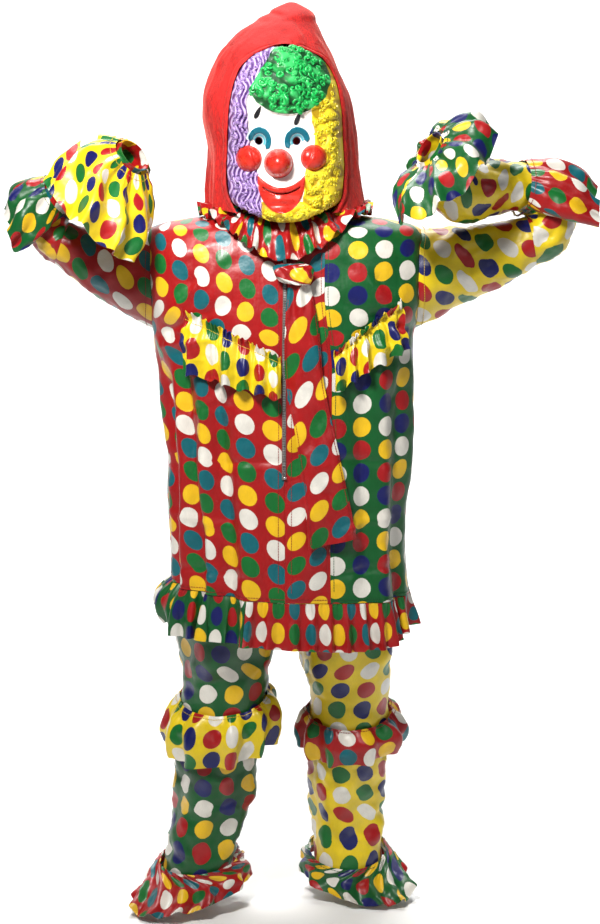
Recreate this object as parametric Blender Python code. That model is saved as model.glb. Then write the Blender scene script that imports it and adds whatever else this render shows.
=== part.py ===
"""Clown costume for a child: tunic, necktie, trousers, foot frills, hood and mask.

Metres, +Z up, the wearer would face -Y with both hands held beside the head.
Heights in the tables are above the floor that the wearer stands on. One empty carries
every piece and puts the base of the neck at the origin. Right and left are the wearer's.
"""
import math
from typing import NamedTuple

import bpy
import numpy as np

# ---------------------------------------------------------------- driving sizes
NECK_HEIGHT = 0.950        # base of the neck above the floor
WALL = 0.0016              # thickness of the cloth
SHELL = 0.0022             # thickness of the mask
SEAM = 0.0003              # gap between two pieces that are sewn together
LAP = 0.0008               # gap under a piece that lies on another
HALF_SEAM = SEAM / 2
UNDERARM = 0.804           # lowest point of the armholes
ARMHOLE_HALF = 0.069       # half height of an armhole
ARMHOLE_DEEP = 0.055       # half depth of an armhole, front to back
ARMHOLE_MIDDLE = UNDERARM + ARMHOLE_HALF
ARM_COLUMNS = 12           # columns round a sleeve
PLACKET = 0.062            # width of the strip beside the front zip
NECK_RIM = 0.960           # height of the tunic's neck edge
CROTCH = 0.428             # lowest point of the trousers' rise
HEM_FRILL = 0.064          # length of the frill below the tunic
FOLD_COLUMNS = 4           # columns for each wave of a frill


class Ring(NamedTuple):
    """One section of a tube: its middle, its half sizes and how its plane is turned."""

    z: float
    wide: float            # half size along the first axis, +X before turning
    deep: float            # half size along the second axis, +Y before turning
    x: float = 0.0
    y: float = 0.0
    tilt: float = 0.0      # degrees about Y, 90 looks along +X
    turn: float = 0.0      # degrees about Z
    spin: float = 0.0      # degrees inside the plane
    saddle: float = 0.0    # rise of the two wide ends
    ripple: float = 0.0    # height of the folds
    square: float = 2.0    # 2 is an ellipse, more is boxier
    side: float = 0.0      # rise of the side towards +X
    back: float = 0.0      # rise of the side towards +Y


TORSO = (
    Ring(z=0.425, wide=0.161, deep=0.118, x=0.007, ripple=0.0045, square=2.4),
    Ring(z=0.500, wide=0.159, deep=0.116, x=0.005, ripple=0.0040, square=2.4),
    Ring(z=0.568, wide=0.161, deep=0.112, x=0.005, ripple=0.0030, square=2.4),
    Ring(z=0.650, wide=0.166, deep=0.109, x=0.005, ripple=0.0015, square=2.4),
    Ring(z=0.740, wide=0.172, deep=0.108, x=0.002, square=2.4),
    Ring(z=0.804, wide=0.180, deep=0.107, x=-0.001, square=2.5),
    Ring(z=0.840, wide=0.187, deep=0.105, square=2.9),
    Ring(z=0.873, wide=0.189, deep=0.102, square=3.0),
    Ring(z=0.915, wide=0.189, deep=0.094, square=2.9),
    Ring(z=0.933, wide=0.187, deep=0.087, square=2.6),
    Ring(z=0.943, wide=0.177, deep=0.083, square=2.3),
    Ring(z=0.951, wide=0.146, deep=0.078, y=0.001, square=2.1),
    Ring(z=0.957, wide=0.100, deep=0.071, y=0.003),
    Ring(z=NECK_RIM, wide=0.068, deep=0.064, y=0.004),
)

TROUSER_LEFT = (
    Ring(z=0.610, wide=0.126, deep=0.092, x=0.0002),
    Ring(z=0.540, wide=0.118, deep=0.098, x=0.018, y=0.005),
    Ring(z=0.480, wide=0.093, deep=0.099, x=0.050, y=0.008),
    Ring(z=CROTCH, wide=0.0745, deep=0.088, x=0.0750, ripple=0.0005),
    Ring(z=0.345, wide=0.0640, deep=0.070, x=0.0825, y=0.010, ripple=0.0040),
    Ring(z=0.290, wide=0.0560, deep=0.059, x=0.0890, y=0.024),
    Ring(z=0.245, wide=0.0560, deep=0.059, x=0.0890, y=0.031),
)
SHIN_LEFT = (
    Ring(z=0.2445, wide=0.0560, deep=0.059, x=0.0890, y=0.0311),
    Ring(z=0.205, wide=0.0540, deep=0.056, x=0.0870, y=0.037, ripple=0.0030),
    Ring(z=0.150, wide=0.0515, deep=0.054, x=0.0840, y=0.044, ripple=0.0045),
    Ring(z=0.105, wide=0.0490, deep=0.051, x=0.0850, y=0.049, ripple=0.0040),
    Ring(z=0.054, wide=0.0490, deep=0.052, x=0.0880, y=0.045, ripple=0.0010, back=0.020),
)
TROUSER_RIGHT = (
    Ring(z=0.610, wide=0.126, deep=0.092, x=-0.0002),
    Ring(z=0.540, wide=0.118, deep=0.098, x=-0.018, y=0.0048),
    Ring(z=0.480, wide=0.093, deep=0.099, x=-0.050, y=0.0052),
    Ring(z=CROTCH, wide=0.0745, deep=0.088, x=-0.0750, ripple=0.0005),
    Ring(z=0.350, wide=0.0620, deep=0.070, x=-0.0840, ripple=0.0040),
    Ring(z=0.318, wide=0.0585, deep=0.061, x=-0.0850),
    Ring(z=0.267, wide=0.0575, deep=0.060, x=-0.0880, y=0.002),
)
SHIN_RIGHT = (
    Ring(z=0.2665, wide=0.0575, deep=0.060, x=-0.0880, y=0.002),
    Ring(z=0.222, wide=0.0555, deep=0.057, x=-0.0950, y=0.004, ripple=0.0030),
    Ring(z=0.159, wide=0.0535, deep=0.055, x=-0.1005, y=0.004, ripple=0.0045),
    Ring(z=0.105, wide=0.0500, deep=0.052, x=-0.1120, y=0.003, ripple=0.0040),
    Ring(z=0.056, wide=0.0490, deep=0.051, x=-0.1230, ripple=0.0010, side=0.006, back=0.013),
)
KNEE_FRILL_LEFT = (
    Ring(z=0.270, wide=0.0599, deep=0.0610, x=0.0890, y=0.0275, ripple=0.0012, back=0.018),
    Ring(z=0.256, wide=0.0700, deep=0.0710, x=0.0925, y=0.0300, ripple=0.0040, back=0.018),
    Ring(z=0.240, wide=0.0730, deep=0.0760, x=0.0940, y=0.0330, ripple=0.0060, side=0.003,
         back=0.018),
    Ring(z=0.221, wide=0.0670, deep=0.0720, x=0.0935, y=0.0360, ripple=0.0055, side=0.006,
         back=0.019),
)
KNEE_FRILL_RIGHT = (
    Ring(z=0.297, wide=0.0611, deep=0.0634, x=-0.0862, y=0.0005, ripple=0.0012, side=0.003,
         back=0.018),
    Ring(z=0.279, wide=0.0755, deep=0.0740, x=-0.0885, ripple=0.0040, side=0.010, back=0.019),
    Ring(z=0.259, wide=0.0790, deep=0.0790, x=-0.0900, y=0.001, ripple=0.0060, side=0.013,
         back=0.021),
    Ring(z=0.231, wide=0.0710, deep=0.0750, x=-0.0915, y=0.002, ripple=0.0065, side=0.006,
         back=0.023),
)
FOOT_FRILL_LEFT = (
    Ring(z=0.0640, wide=0.0541, deep=0.0557, x=0.0877, y=0.0461, ripple=0.0010, back=0.017),
    Ring(z=0.0505, wide=0.0660, deep=0.0600, x=0.0895, y=0.0430, spin=-30, ripple=0.0030,
         side=-0.002, back=0.019),
    Ring(z=0.0370, wide=0.0810, deep=0.0625, x=0.0960, y=0.0360, spin=-40, ripple=0.0045,
         side=-0.005, back=0.020),
    Ring(z=0.0265, wide=0.0880, deep=0.0640, x=0.1010, y=0.0310, spin=-40, ripple=0.0050,
         side=-0.006, back=0.020),
)
FOOT_FRILL_RIGHT = (
    Ring(z=0.0650, wide=0.0555, deep=0.0572, x=-0.1208, y=0.0008, ripple=0.0010, side=0.005,
         back=0.011),
    Ring(z=0.0510, wide=0.0670, deep=0.0610, x=-0.1225, y=-0.0040, spin=30, ripple=0.0030,
         side=0.007, back=0.012),
    Ring(z=0.0360, wide=0.0850, deep=0.0630, x=-0.1290, y=-0.0190, spin=45, ripple=0.0045,
         side=0.010, back=0.012),
    Ring(z=0.0240, wide=0.0940, deep=0.0650, x=-0.1330, y=-0.0260, spin=45, ripple=0.0050,
         side=0.010, back=0.012),
)

SLEEVE_LEFT = (
    Ring(z=0.873, wide=0.069, deep=0.055, x=0.184, tilt=88),
    Ring(z=0.888, wide=0.056, deep=0.054, x=0.220, tilt=85, ripple=0.0020),
    Ring(z=0.896, wide=0.050, deep=0.050, x=0.254, tilt=82, ripple=0.0030),
    Ring(z=0.905, wide=0.043, deep=0.047, x=0.290, tilt=78, ripple=0.0025),
    Ring(z=0.9228, wide=0.034, deep=0.045, x=0.3325, tilt=78),
)
SLEEVE_RIGHT = (
    Ring(z=0.873, wide=0.069, deep=0.055, x=-0.184, tilt=-88),
    Ring(z=0.883, wide=0.056, deep=0.054, x=-0.218, tilt=-82, ripple=0.0020),
    Ring(z=0.894, wide=0.046, deep=0.049, x=-0.247, tilt=-74, ripple=0.0030),
    Ring(z=0.906, wide=0.037, deep=0.045, x=-0.274, tilt=-70, ripple=0.0025),
    Ring(z=0.9195, wide=0.030, deep=0.043, x=-0.3011, tilt=-70),
)


class Elbow(NamedTuple):
    """The bend between the two parts of a sleeve."""

    x: float               # middle of the bend
    z: float
    radius: float          # of the tube's middle line
    start: float           # tilt where the bend begins
    end: float             # tilt where it ends
    wide: float            # half size of the tube in the plane of the bend
    deep: float


ELBOW_LEFT = Elbow(x=0.3250, z=0.9580, radius=0.0360, start=78, end=-80, wide=0.0340,
                   deep=0.045)
FOREARM_LEFT = (
    Ring(z=0.9970, wide=0.0370, deep=0.045, x=0.286, y=-0.016, tilt=-88, turn=20,
         ripple=0.0015),
    Ring(z=0.9920, wide=0.0430, deep=0.046, x=0.240, y=-0.043, tilt=-84, turn=28,
         ripple=0.0030),
    Ring(z=1.0120, wide=0.0370, deep=0.037, x=0.209, y=-0.063, tilt=-64, turn=28,
         ripple=0.0015),
    Ring(z=1.0405, wide=0.0262, deep=0.0268, x=0.1955, y=-0.0742, tilt=-58, turn=26),
    Ring(z=1.0500, wide=0.0240, deep=0.0250, x=0.1900, y=-0.0780, tilt=-58, turn=24),
)
ELBOW_RIGHT = Elbow(x=-0.2900, z=0.9500, radius=0.0325, start=-70, end=58, wide=0.0300,
                    deep=0.043)
FOREARM_RIGHT = (
    Ring(z=0.9980, wide=0.0330, deep=0.040, x=-0.273, y=-0.024, tilt=57, turn=-20,
         ripple=0.0020),
    Ring(z=1.0185, wide=0.0285, deep=0.030, x=-0.235, y=-0.0535, tilt=57, turn=-30,
         ripple=0.0015),
    Ring(z=1.0350, wide=0.0250, deep=0.0260, x=-0.2070, y=-0.0735, tilt=56, turn=-32),
    Ring(z=1.0400, wide=0.0240, deep=0.0250, x=-0.1980, y=-0.0800, tilt=56, turn=-32),
)
ELBOW_FRILL_LEFT = (
    Ring(z=0.9950, wide=0.0376, deep=0.0520, x=0.3165, y=-0.0060, tilt=96, turn=12,
         ripple=0.0006),
    Ring(z=0.9860, wide=0.0440, deep=0.0590, x=0.3480, y=-0.0030, tilt=103, turn=5,
         ripple=0.0030),
    Ring(z=0.9710, wide=0.0480, deep=0.0660, x=0.3850, tilt=101, ripple=0.0045),
    Ring(z=0.9560, wide=0.0440, deep=0.0710, x=0.4180, tilt=95, ripple=0.0060),
)
ELBOW_FRILL_RIGHT = (
    Ring(z=0.9818, wide=0.0336, deep=0.0495, x=-0.3004, y=-0.0055, tilt=-122, turn=-16,
         ripple=0.0006),
    Ring(z=0.9660, wide=0.0430, deep=0.0580, x=-0.3230, y=-0.0020, tilt=-120, turn=-6,
         ripple=0.0030),
    Ring(z=0.9450, wide=0.0500, deep=0.0660, x=-0.3440, tilt=-117, ripple=0.0045),
    Ring(z=0.9220, wide=0.0520, deep=0.0710, x=-0.3620, tilt=-115, ripple=0.0060),
)
WRIST_FRILL_LEFT = (
    Ring(z=1.0485, wide=0.0284, deep=0.0294, x=0.1914, y=-0.0772, tilt=-60, turn=24,
         ripple=0.0010),
    Ring(z=1.0440, wide=0.0540, deep=0.0520, x=0.1980, y=-0.0790, tilt=-48, turn=28,
         ripple=0.0040),
    Ring(z=1.0330, wide=0.0770, deep=0.0680, x=0.1990, y=-0.0860, tilt=-41, turn=32,
         ripple=0.0070),
    Ring(z=1.0200, wide=0.0960, deep=0.0780, x=0.2010, y=-0.0940, tilt=-37, turn=35,
         ripple=0.0090),
)
WRIST_FRILL_RIGHT = (
    Ring(z=1.0375, wide=0.0282, deep=0.0292, x=-0.2020, y=-0.0775, tilt=56, turn=-31,
         ripple=0.0010),
    Ring(z=1.0170, wide=0.0540, deep=0.0540, x=-0.2190, y=-0.0770, tilt=50, turn=-24,
         ripple=0.0040),
    Ring(z=0.9840, wide=0.0700, deep=0.0660, x=-0.2370, y=-0.0960, tilt=44, turn=-10,
         ripple=0.0065),
    Ring(z=0.9550, wide=0.0810, deep=0.0680, x=-0.2560, y=-0.1080, tilt=42, turn=-5,
         ripple=0.0085),
)
COLLAR = (
    Ring(z=0.9628, wide=0.0675, deep=0.0640, y=0.0035, ripple=0.0004),
    Ring(z=0.9535, wide=0.0930, deep=0.0920, y=0.0010, saddle=0.0150, ripple=0.0022),
    Ring(z=0.9040, wide=0.1180, deep=0.1180, y=-0.0010, saddle=0.0610, ripple=0.0052),
)
HOOD = (
    Ring(z=0.950, wide=0.1080, deep=0.1040, x=0.003, y=0.002),
    Ring(z=0.990, wide=0.1035, deep=0.1020, x=-0.001, y=0.001),
    Ring(z=1.045, wide=0.0995, deep=0.1040, x=-0.003, y=0.001),
    Ring(z=1.090, wide=0.1015, deep=0.1060, x=-0.011, y=0.002),
    Ring(z=1.115, wide=0.0990, deep=0.1060, x=-0.013, y=0.003),
    Ring(z=1.150, wide=0.0860, deep=0.0980, x=-0.014, y=0.004),
    Ring(z=1.185, wide=0.0680, deep=0.0800, x=-0.013, y=0.006),
    Ring(z=1.204, wide=0.0525, deep=0.0620, x=-0.007, y=0.008),
    Ring(z=1.219, wide=0.0370, deep=0.0440, x=0.001, y=0.009),
    Ring(z=1.230, wide=0.0250, deep=0.0290, x=0.006, y=0.010),
    Ring(z=1.240, wide=0.0060, deep=0.0070, x=0.008, y=0.010),
)


class Opening(NamedTuple):
    """Half width of the hood's face opening, and how far the mask stands out of it."""

    z: float
    half: float
    bulge: float


FACE = (
    Opening(z=0.9530, half=0.0440, bulge=0.020),
    Opening(z=0.9620, half=0.0600, bulge=0.034),
    Opening(z=0.9780, half=0.0720, bulge=0.042),
    Opening(z=1.0080, half=0.0780, bulge=0.047),
    Opening(z=1.0600, half=0.0770, bulge=0.048),
    Opening(z=1.1130, half=0.0730, bulge=0.044),
    Opening(z=1.1400, half=0.0660, bulge=0.038),
    Opening(z=1.1580, half=0.0560, bulge=0.030),
    Opening(z=1.1720, half=0.0400, bulge=0.020),
    Opening(z=1.1810, half=0.0200, bulge=0.008),
)


class Bump(NamedTuple):
    """A raised or sunk form of the mask."""

    x: float
    z: float
    wide: float
    high: float
    rise: float
    ball: bool = False     # a ball with a crisp edge, else a soft hill


BUMPS = (
    Bump(x=-0.0080, z=1.0300, wide=0.0185, high=0.0185, rise=0.027, ball=True),
    Bump(x=-0.0470, z=1.0360, wide=0.0165, high=0.0165, rise=0.013, ball=True),
    Bump(x=0.0380, z=1.0370, wide=0.0165, high=0.0165, rise=0.013, ball=True),
    Bump(x=-0.0070, z=1.1300, wide=0.0560, high=0.0330, rise=0.015),
    Bump(x=-0.0660, z=1.0900, wide=0.0200, high=0.0700, rise=0.009),
    Bump(x=0.0620, z=1.0600, wide=0.0200, high=0.0700, rise=0.009),
    Bump(x=-0.0340, z=1.0600, wide=0.0150, high=0.0110, rise=-0.006),
    Bump(x=0.0160, z=1.0600, wide=0.0150, high=0.0110, rise=-0.006),
    Bump(x=-0.0060, z=0.9980, wide=0.0300, high=0.0120, rise=0.008),
    Bump(x=-0.0060, z=0.9830, wide=0.0220, high=0.0080, rise=0.006),
    Bump(x=-0.0060, z=0.9640, wide=0.0200, high=0.0100, rise=0.008),
)
EYES = ((-0.0340, 1.0590), (0.0155, 1.0590))   # middle of each eye hole, x and z
EYE_HALF = 0.0042


class Strip(NamedTuple):
    """A cross line of the necktie's blade or of a chest frill: height and two edges."""

    z: float
    inner: float
    outer: float
    stand: float = 0.0


TIE = (
    Strip(z=0.8695, inner=0.0040, outer=0.0340, stand=0.0065),
    Strip(z=0.8300, inner=0.0010, outer=0.0420, stand=0.0045),
    Strip(z=0.7500, inner=0.0005, outer=0.0500, stand=0.0030),
    Strip(z=0.6650, inner=0.0150, outer=0.0660, stand=0.0040),
    Strip(z=0.5950, inner=0.0240, outer=0.0800, stand=0.0055),
    Strip(z=0.5290, inner=0.0310, outer=0.0930, stand=0.0070),
)


class Flounce(NamedTuple):
    """A chest frill: the heights of its sewn edge and its length, at both ends."""

    near: float            # x of the end by the middle
    far: float             # x of the end by the armhole
    near_top: float
    far_top: float
    near_length: float
    far_length: float


CHEST_RIGHT = Flounce(near=-0.0050, far=-0.1330, near_top=0.7670, far_top=0.8260,
                      near_length=0.048, far_length=0.072)
CHEST_LEFT = Flounce(near=0.0640, far=0.1530, near_top=0.7740, far_top=0.8400,
                     near_length=0.046, far_length=0.058)

COLOURS = {
    "red": (0.62, 0.05, 0.04),
    "green": (0.02, 0.26, 0.07),
    "yellow": (0.85, 0.66, 0.05),
    "hood red": (0.60, 0.03, 0.03),
    "mask white": (0.85, 0.82, 0.76),
    "zip white": (0.80, 0.80, 0.78),
    "zip metal": (0.62, 0.62, 0.60),
}


# ---------------------------------------------------------------- mathematics
def follow(keys, values, at):
    """Cubic through the rows of a table, read at any places between its keys."""
    keys = np.asarray(keys, float)
    values = np.asarray(values, float)
    at = np.asarray(at, float)
    slopes = np.gradient(values, keys, axis=0)
    low = np.clip(np.searchsorted(keys, at, side="right") - 1, 0, len(keys) - 2)
    step = (keys[low + 1] - keys[low])[..., None]
    f = (at - keys[low])[..., None] / step
    start = (2 * f**3 - 3 * f**2 + 1) * values[low] + (f**3 - 2 * f**2 + f) * step * slopes[low]
    end = (3 * f**2 - 2 * f**3) * values[low + 1] + (f**3 - f**2) * step * slopes[low + 1]
    return start + end


def power(value, exponent):
    """Power that keeps the sign."""
    return np.sign(value) * np.abs(value) ** exponent


def smooth(value):
    """Soft step from 0 to 1."""
    value = np.clip(value, 0.0, 1.0)
    return value * value * (3 - 2 * value)


def put_ring(section, angle, push=0.0):
    """Points of sections at angles, pushed outward."""
    z, wide, deep, x, y, tilt, turn, spin, saddle, _, square, side, back = np.moveaxis(
        section, -1, 0)
    tilt, turn, spin = np.radians(tilt), np.radians(turn), np.radians(spin)
    z = z + side * np.cos(angle + spin) + back * np.sin(angle + spin)
    c, s = np.cos(angle), np.sin(angle)
    u = (wide + push) * power(c, 2 / square)
    v = (deep + push) * power(s, 2 / square)
    w = saddle * (1 - s**4)
    u, v = u * np.cos(spin) - v * np.sin(spin), u * np.sin(spin) + v * np.cos(spin)
    across = u * np.cos(tilt) + w * np.sin(tilt)
    up = w * np.cos(tilt) - u * np.sin(tilt)
    east = across * np.cos(turn) - v * np.sin(turn)
    north = across * np.sin(turn) + v * np.cos(turn)
    return np.stack([x + east, y + north, z + up], -1)


def normal(shape, v, a, sign=1.0):
    """Unit normals of a surface shape(v, a), from small steps."""
    step = 1e-4
    along = shape(v + step, a) - shape(v - step, a)
    across = shape(v, a + step) - shape(v, a - step)
    n = np.cross(across, along) * sign
    return n / np.linalg.norm(n, axis=-1, keepdims=True)


def folds(count, turn, seed):
    """Phase and size of uneven folds at places turn, 0 to 1 along the edge."""
    slow, quick = 6 * np.pi * turn + seed, 14 * np.pi * turn + 2 * seed
    phase = turn + 0.011 * (np.sin(slow) - math.sin(seed))
    phase = phase + 0.0055 * (np.sin(quick) - math.sin(2 * seed))
    rate = 1 + 0.066 * np.pi * np.cos(slow) + 0.077 * np.pi * np.cos(quick)
    size = 1 + 0.20 * np.sin(4 * np.pi * turn + 1.7 * seed)
    return count * phase, size * np.clip(1 / rate, 0.6, 1.25)


def fold_places(count, seed, closed):
    """Places along an edge where each fold has its crest, trough and crossings."""
    dense = np.linspace(0, 1, 2881)
    phase, _ = folds(count, dense, seed)
    last = count * FOLD_COLUMNS + (0 if closed else 1)
    return np.interp(np.arange(last) / FOLD_COLUMNS, phase, dense)


# ---------------------------------------------------------------- solids
def finish_for(name):
    """Principled material of a colour in the table."""
    material = bpy.data.materials.get(name) or bpy.data.materials.new(name)
    material.use_nodes = True
    shader = material.node_tree.nodes["Principled BSDF"]
    shader.inputs["Base Color"].default_value = (*COLOURS[name], 1)
    shader.inputs["Roughness"].default_value = 0.30 if "metal" in name else 0.55
    shader.inputs["Metallic"].default_value = 1.0 if "metal" in name else 0.0
    return material


def add_solid(name, points, faces, colour, carrier):
    """Object of one closed solid, carried by the empty."""
    mesh = bpy.data.meshes.new(name)
    mesh.from_pydata([tuple(p) for p in points], [], [tuple(f) for f in faces])
    mesh.update()
    mesh.materials.append(finish_for(colour))
    item = bpy.data.objects.new(name, mesh)
    bpy.context.scene.collection.objects.link(item)
    item.parent = carrier
    return item


def wall(points, normals, faces, thickness):
    """Closed wall: a surface, the same surface moved in, and rims on its open edges."""
    used = sorted({i for face in faces for i in face})
    place = {old: new for new, old in enumerate(used)}
    outer = points[used]
    inner = outer - normals[used] * thickness
    count = len(used)
    outside = [tuple(place[i] for i in face) for face in faces]
    inside = [tuple(i + count for i in reversed(face)) for face in outside]
    edges = {(f[i], f[(i + 1) % 3]) for f in outside for i in range(3)}
    rim = []
    for i, j in sorted(edges):
        if (j, i) not in edges:
            rim.append((j, i, i + count))
            rim.append((j, i + count, j + count))
    return np.vstack([outer, inner]), outside + inside + rim


def grid_faces(rows, columns, closed, same, holes=()):
    """Triangles of a grid, where same(i) gives the number that stands for point i."""
    faces = []
    for r in range(rows - 1):
        for c in range(columns if closed else columns - 1):
            if (r, c) in holes:
                continue
            d = (c + 1) % columns
            a, b = same(r * columns + c), same(r * columns + d)
            e, f = same((r + 1) * columns + c), same((r + 1) * columns + d)
            for face in ((a, b, f), (a, f, e)):
                if len(set(face)) == 3:
                    faces.append(face)
    return faces


def sheet(name, shape, v, a, colour, carrier, closed=False, toward=None, same=None,
          holes=(), thickness=WALL):
    """Cloth over a grid of places v, a. Its outer side faces away from its middle."""
    v, a = np.broadcast_arrays(np.asarray(v, float), np.asarray(a, float))
    points = shape(v, a)
    order = np.sign((v[-1, 0] - v[0, 0]) * (a[0, 1] - a[0, 0]))
    normals = normal(shape, v, a, order)
    if toward is None:
        middle = points.mean(axis=1, keepdims=True)
        facing = ((points - middle) * normals).sum()
    else:
        facing = (normals * np.asarray(toward)).sum()
    faces = grid_faces(*v.shape, closed, same or (lambda i: i), holes)
    if facing < 0:
        normals = -normals
        faces = [face[::-1] for face in faces]
    body = wall(points.reshape(-1, 3), normals.reshape(-1, 3), faces, thickness)
    return add_solid(name, *body, colour, carrier)


def tube_shape(rings, waves=0, seed=0.0):
    """Surface through rings; v counts the rings and a goes round."""
    keys = np.arange(len(rings))

    def shape(v, a):
        section = follow(keys, rings, v)
        push = section[..., 9] * np.sin(waves * a + seed + 0.8 * v) if waves else 0.0
        return put_ring(section, a, push)

    return shape


# ---------------------------------------------------------------- tunic
TORSO_HEIGHTS = [ring.z for ring in TORSO]


def torso_section(z):
    """Section of the tunic at heights z."""
    return follow(TORSO_HEIGHTS, TORSO, z)


def torso_shape(z, a):
    """Point of the tunic at heights z and angles a, folds and all."""
    section = torso_section(z)
    push = section[..., 9] * (np.sin(7 * a + 0.6) + 0.5 * np.sin(4 * a + 2.0))
    return put_ring(section, a, push)


def hem_height(a):
    """Height of the tunic's lower edge round the body."""
    return 0.4460 + 0.0050 * np.cos(a) ** 2 - 0.009 * np.cos(a) - 0.0010 * np.sin(a)


def armhole_edge(z):
    """Half depth of the armhole at heights z."""
    part = np.clip((z - ARMHOLE_MIDDLE) / ARMHOLE_HALF, -1, 1)
    return ARMHOLE_DEEP * np.sqrt(1 - part**2)


def angle_at_x(z, x):
    """Angle at the front where the tunic's section has this x."""
    section = torso_section(z)
    part = (x - section[..., 3]) / section[..., 1]
    return -np.arccos(power(part, section[..., 10] / 2))


def angle_at_y(z, y):
    """Angle at the left side where the tunic's section has this y."""
    section = torso_section(z)
    part = (y - section[..., 4]) / section[..., 2]
    return np.arcsin(power(part, section[..., 10] / 2))


def torso_rows():
    """Heights of the tunic's rows as parts of the lower span, then plain heights."""
    lower = np.linspace(0, 1, 6)[:-1]
    steps = ARM_COLUMNS // 2
    rise = np.arange(steps + 1) * math.pi / steps
    armhole = ARMHOLE_MIDDLE - ARMHOLE_HALF * np.cos(rise)
    shoulder = [0.951, 0.957, NECK_RIM]
    return lower, np.concatenate([armhole, shoulder])


def panel_grid(start, end, columns):
    """Heights and angles of a tunic panel between two edges given as functions of z."""
    lower, upper = torso_rows()
    share = np.linspace(0, 1, columns + 1)
    a_top = np.stack([start(z) + (end(z) - start(z)) * share for z in upper])
    a_low = np.repeat(a_top[:1], len(lower), axis=0)
    for _ in range(4):
        hem = hem_height(a_low[:1])
        z_low = hem + (UNDERARM - hem) * lower[:, None]
        first = start(z_low[:, 0])
        last = end(z_low[:, -1])
        a_low = first[:, None] + (last - first)[:, None] * share
    z_top = np.repeat(upper[:, None], columns + 1, axis=1)
    return np.vstack([z_low, z_top]), np.vstack([a_low, a_top])


def build_tunic(carrier):
    """The five panels of the tunic's body."""
    def side_front(z):
        return angle_at_y(z, -armhole_edge(z) - HALF_SEAM)

    def side_back(z):
        return angle_at_y(z, armhole_edge(z) + HALF_SEAM)

    def strip_edge(offset):
        return lambda z: angle_at_x(z, np.minimum(PLACKET, 0.55 * torso_section(z)[..., 1])
                                    + offset)

    edges = {
        "tunic_front_right": (lambda z: -math.pi - side_front(z),
                              lambda z: angle_at_x(z, -HALF_SEAM), 8, "red"),
        "tunic_placket_left": (lambda z: angle_at_x(z, HALF_SEAM),
                               strip_edge(-HALF_SEAM), 3, "red"),
        "tunic_front_left": (strip_edge(HALF_SEAM), side_front, 6, "green"),
        "tunic_back_left": (side_back, lambda z: -angle_at_x(z, HALF_SEAM), 8, "green"),
        "tunic_back_right": (lambda z: -angle_at_x(z, -HALF_SEAM),
                             lambda z: math.pi - side_back(z), 8, "red"),
    }
    for name, (start, end, columns, colour) in edges.items():
        z, a = panel_grid(start, end, columns)
        toward = (0, -1, 0.2) if "back" not in name else (0, 1, 0.2)
        sheet(name, torso_shape, z, a, colour, carrier, toward=toward)


def armhole_loop(a, side):
    """Edge of an armhole at sleeve angles a; side is 1 on the left and -1 on the right."""
    z = ARMHOLE_MIDDLE - side * ARMHOLE_HALF * np.cos(a)
    y = ARMHOLE_DEEP * np.sin(a)
    section = torso_section(z)
    round_it = np.arcsin(power((y - section[..., 4]) / section[..., 2], section[..., 10] / 2))
    if side < 0:
        round_it = math.pi - round_it
    return put_ring(section, round_it)


def sleeve_shape(rings, side):
    """Upper sleeve, which starts as the armhole and takes its rings from there."""
    tube = tube_shape(rings, waves=3, seed=1.0)
    lift = np.array([side * SEAM, 0, 0])

    def shape(v, a):
        ease = np.clip(1 - v, 0, 2) ** 2
        first = armhole_loop(a, side) + lift - tube(np.zeros_like(v), a)
        return tube(v, a) + first * ease[..., None]

    return shape


def forearm_rings(elbow, forearm, side):
    """Rings of the lower sleeve: round the bend, then along the forearm to the wrist."""
    rings = []
    for tilt in np.linspace(elbow.start, elbow.end, 6):
        angle = math.radians(tilt)
        x = elbow.x + side * elbow.radius * math.cos(angle)
        z = elbow.z - side * elbow.radius * math.sin(angle)
        rings.append(Ring(z=z, wide=elbow.wide, deep=elbow.deep, x=x, tilt=tilt))
    start = rings[0]
    rings[0] = start._replace(x=start.x + side * SEAM)
    return rings + list(forearm)


def build_sleeves(carrier):
    """Two parts for each sleeve, with the wrist end open."""
    around = np.arange(ARM_COLUMNS) * 2 * math.pi / ARM_COLUMNS
    for side, word, rings, elbow, forearm, colour in (
            (1, "left", SLEEVE_LEFT, ELBOW_LEFT, FOREARM_LEFT, "yellow"),
            (-1, "right", SLEEVE_RIGHT, ELBOW_RIGHT, FOREARM_RIGHT, "red")):
        v = np.linspace(0, len(rings) - 1, 6)[:, None]
        sheet(f"sleeve_upper_{word}", sleeve_shape(rings, side), v, around[None], colour,
              carrier, closed=True)
        lower = forearm_rings(elbow, forearm, side)
        v = np.arange(len(lower))[:, None]
        sheet(f"sleeve_fore_{word}", tube_shape(lower, waves=3, seed=0.5), v, around[None],
              colour, carrier, closed=True)


# ---------------------------------------------------------------- frills
def frill_shape(rings, count, seed, reach=None):
    """Gathered ring: the rings' surface, pushed along its normals by the folds."""
    keys = np.arange(len(rings))
    last = len(rings) - 1

    def base(v, a):
        far = reach(a) if reach else 1.0
        return put_ring(follow(keys, rings, v * far * last), a)

    def shape(v, a):
        phase, size = folds(count, a / (2 * math.pi), seed)
        far = reach(a) if reach else 1.0
        height = follow(keys, rings, v * far * last)[..., 9]
        amount = height * size * np.sin(2 * math.pi * phase)
        return base(v, a) + normal(base, v, a) * amount[..., None]

    return shape


def build_frill(name, rings, count, seed, colour, carrier, rows=3, reach=None, toward=None):
    """One gathered ring as a closed wall."""
    a = 2 * math.pi * fold_places(count, seed, True)[None]
    v = np.linspace(0, 1, rows)[:, None]
    sheet(name, frill_shape(rings, count, seed, reach), v, a, colour, carrier, closed=True,
          toward=toward)


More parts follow.
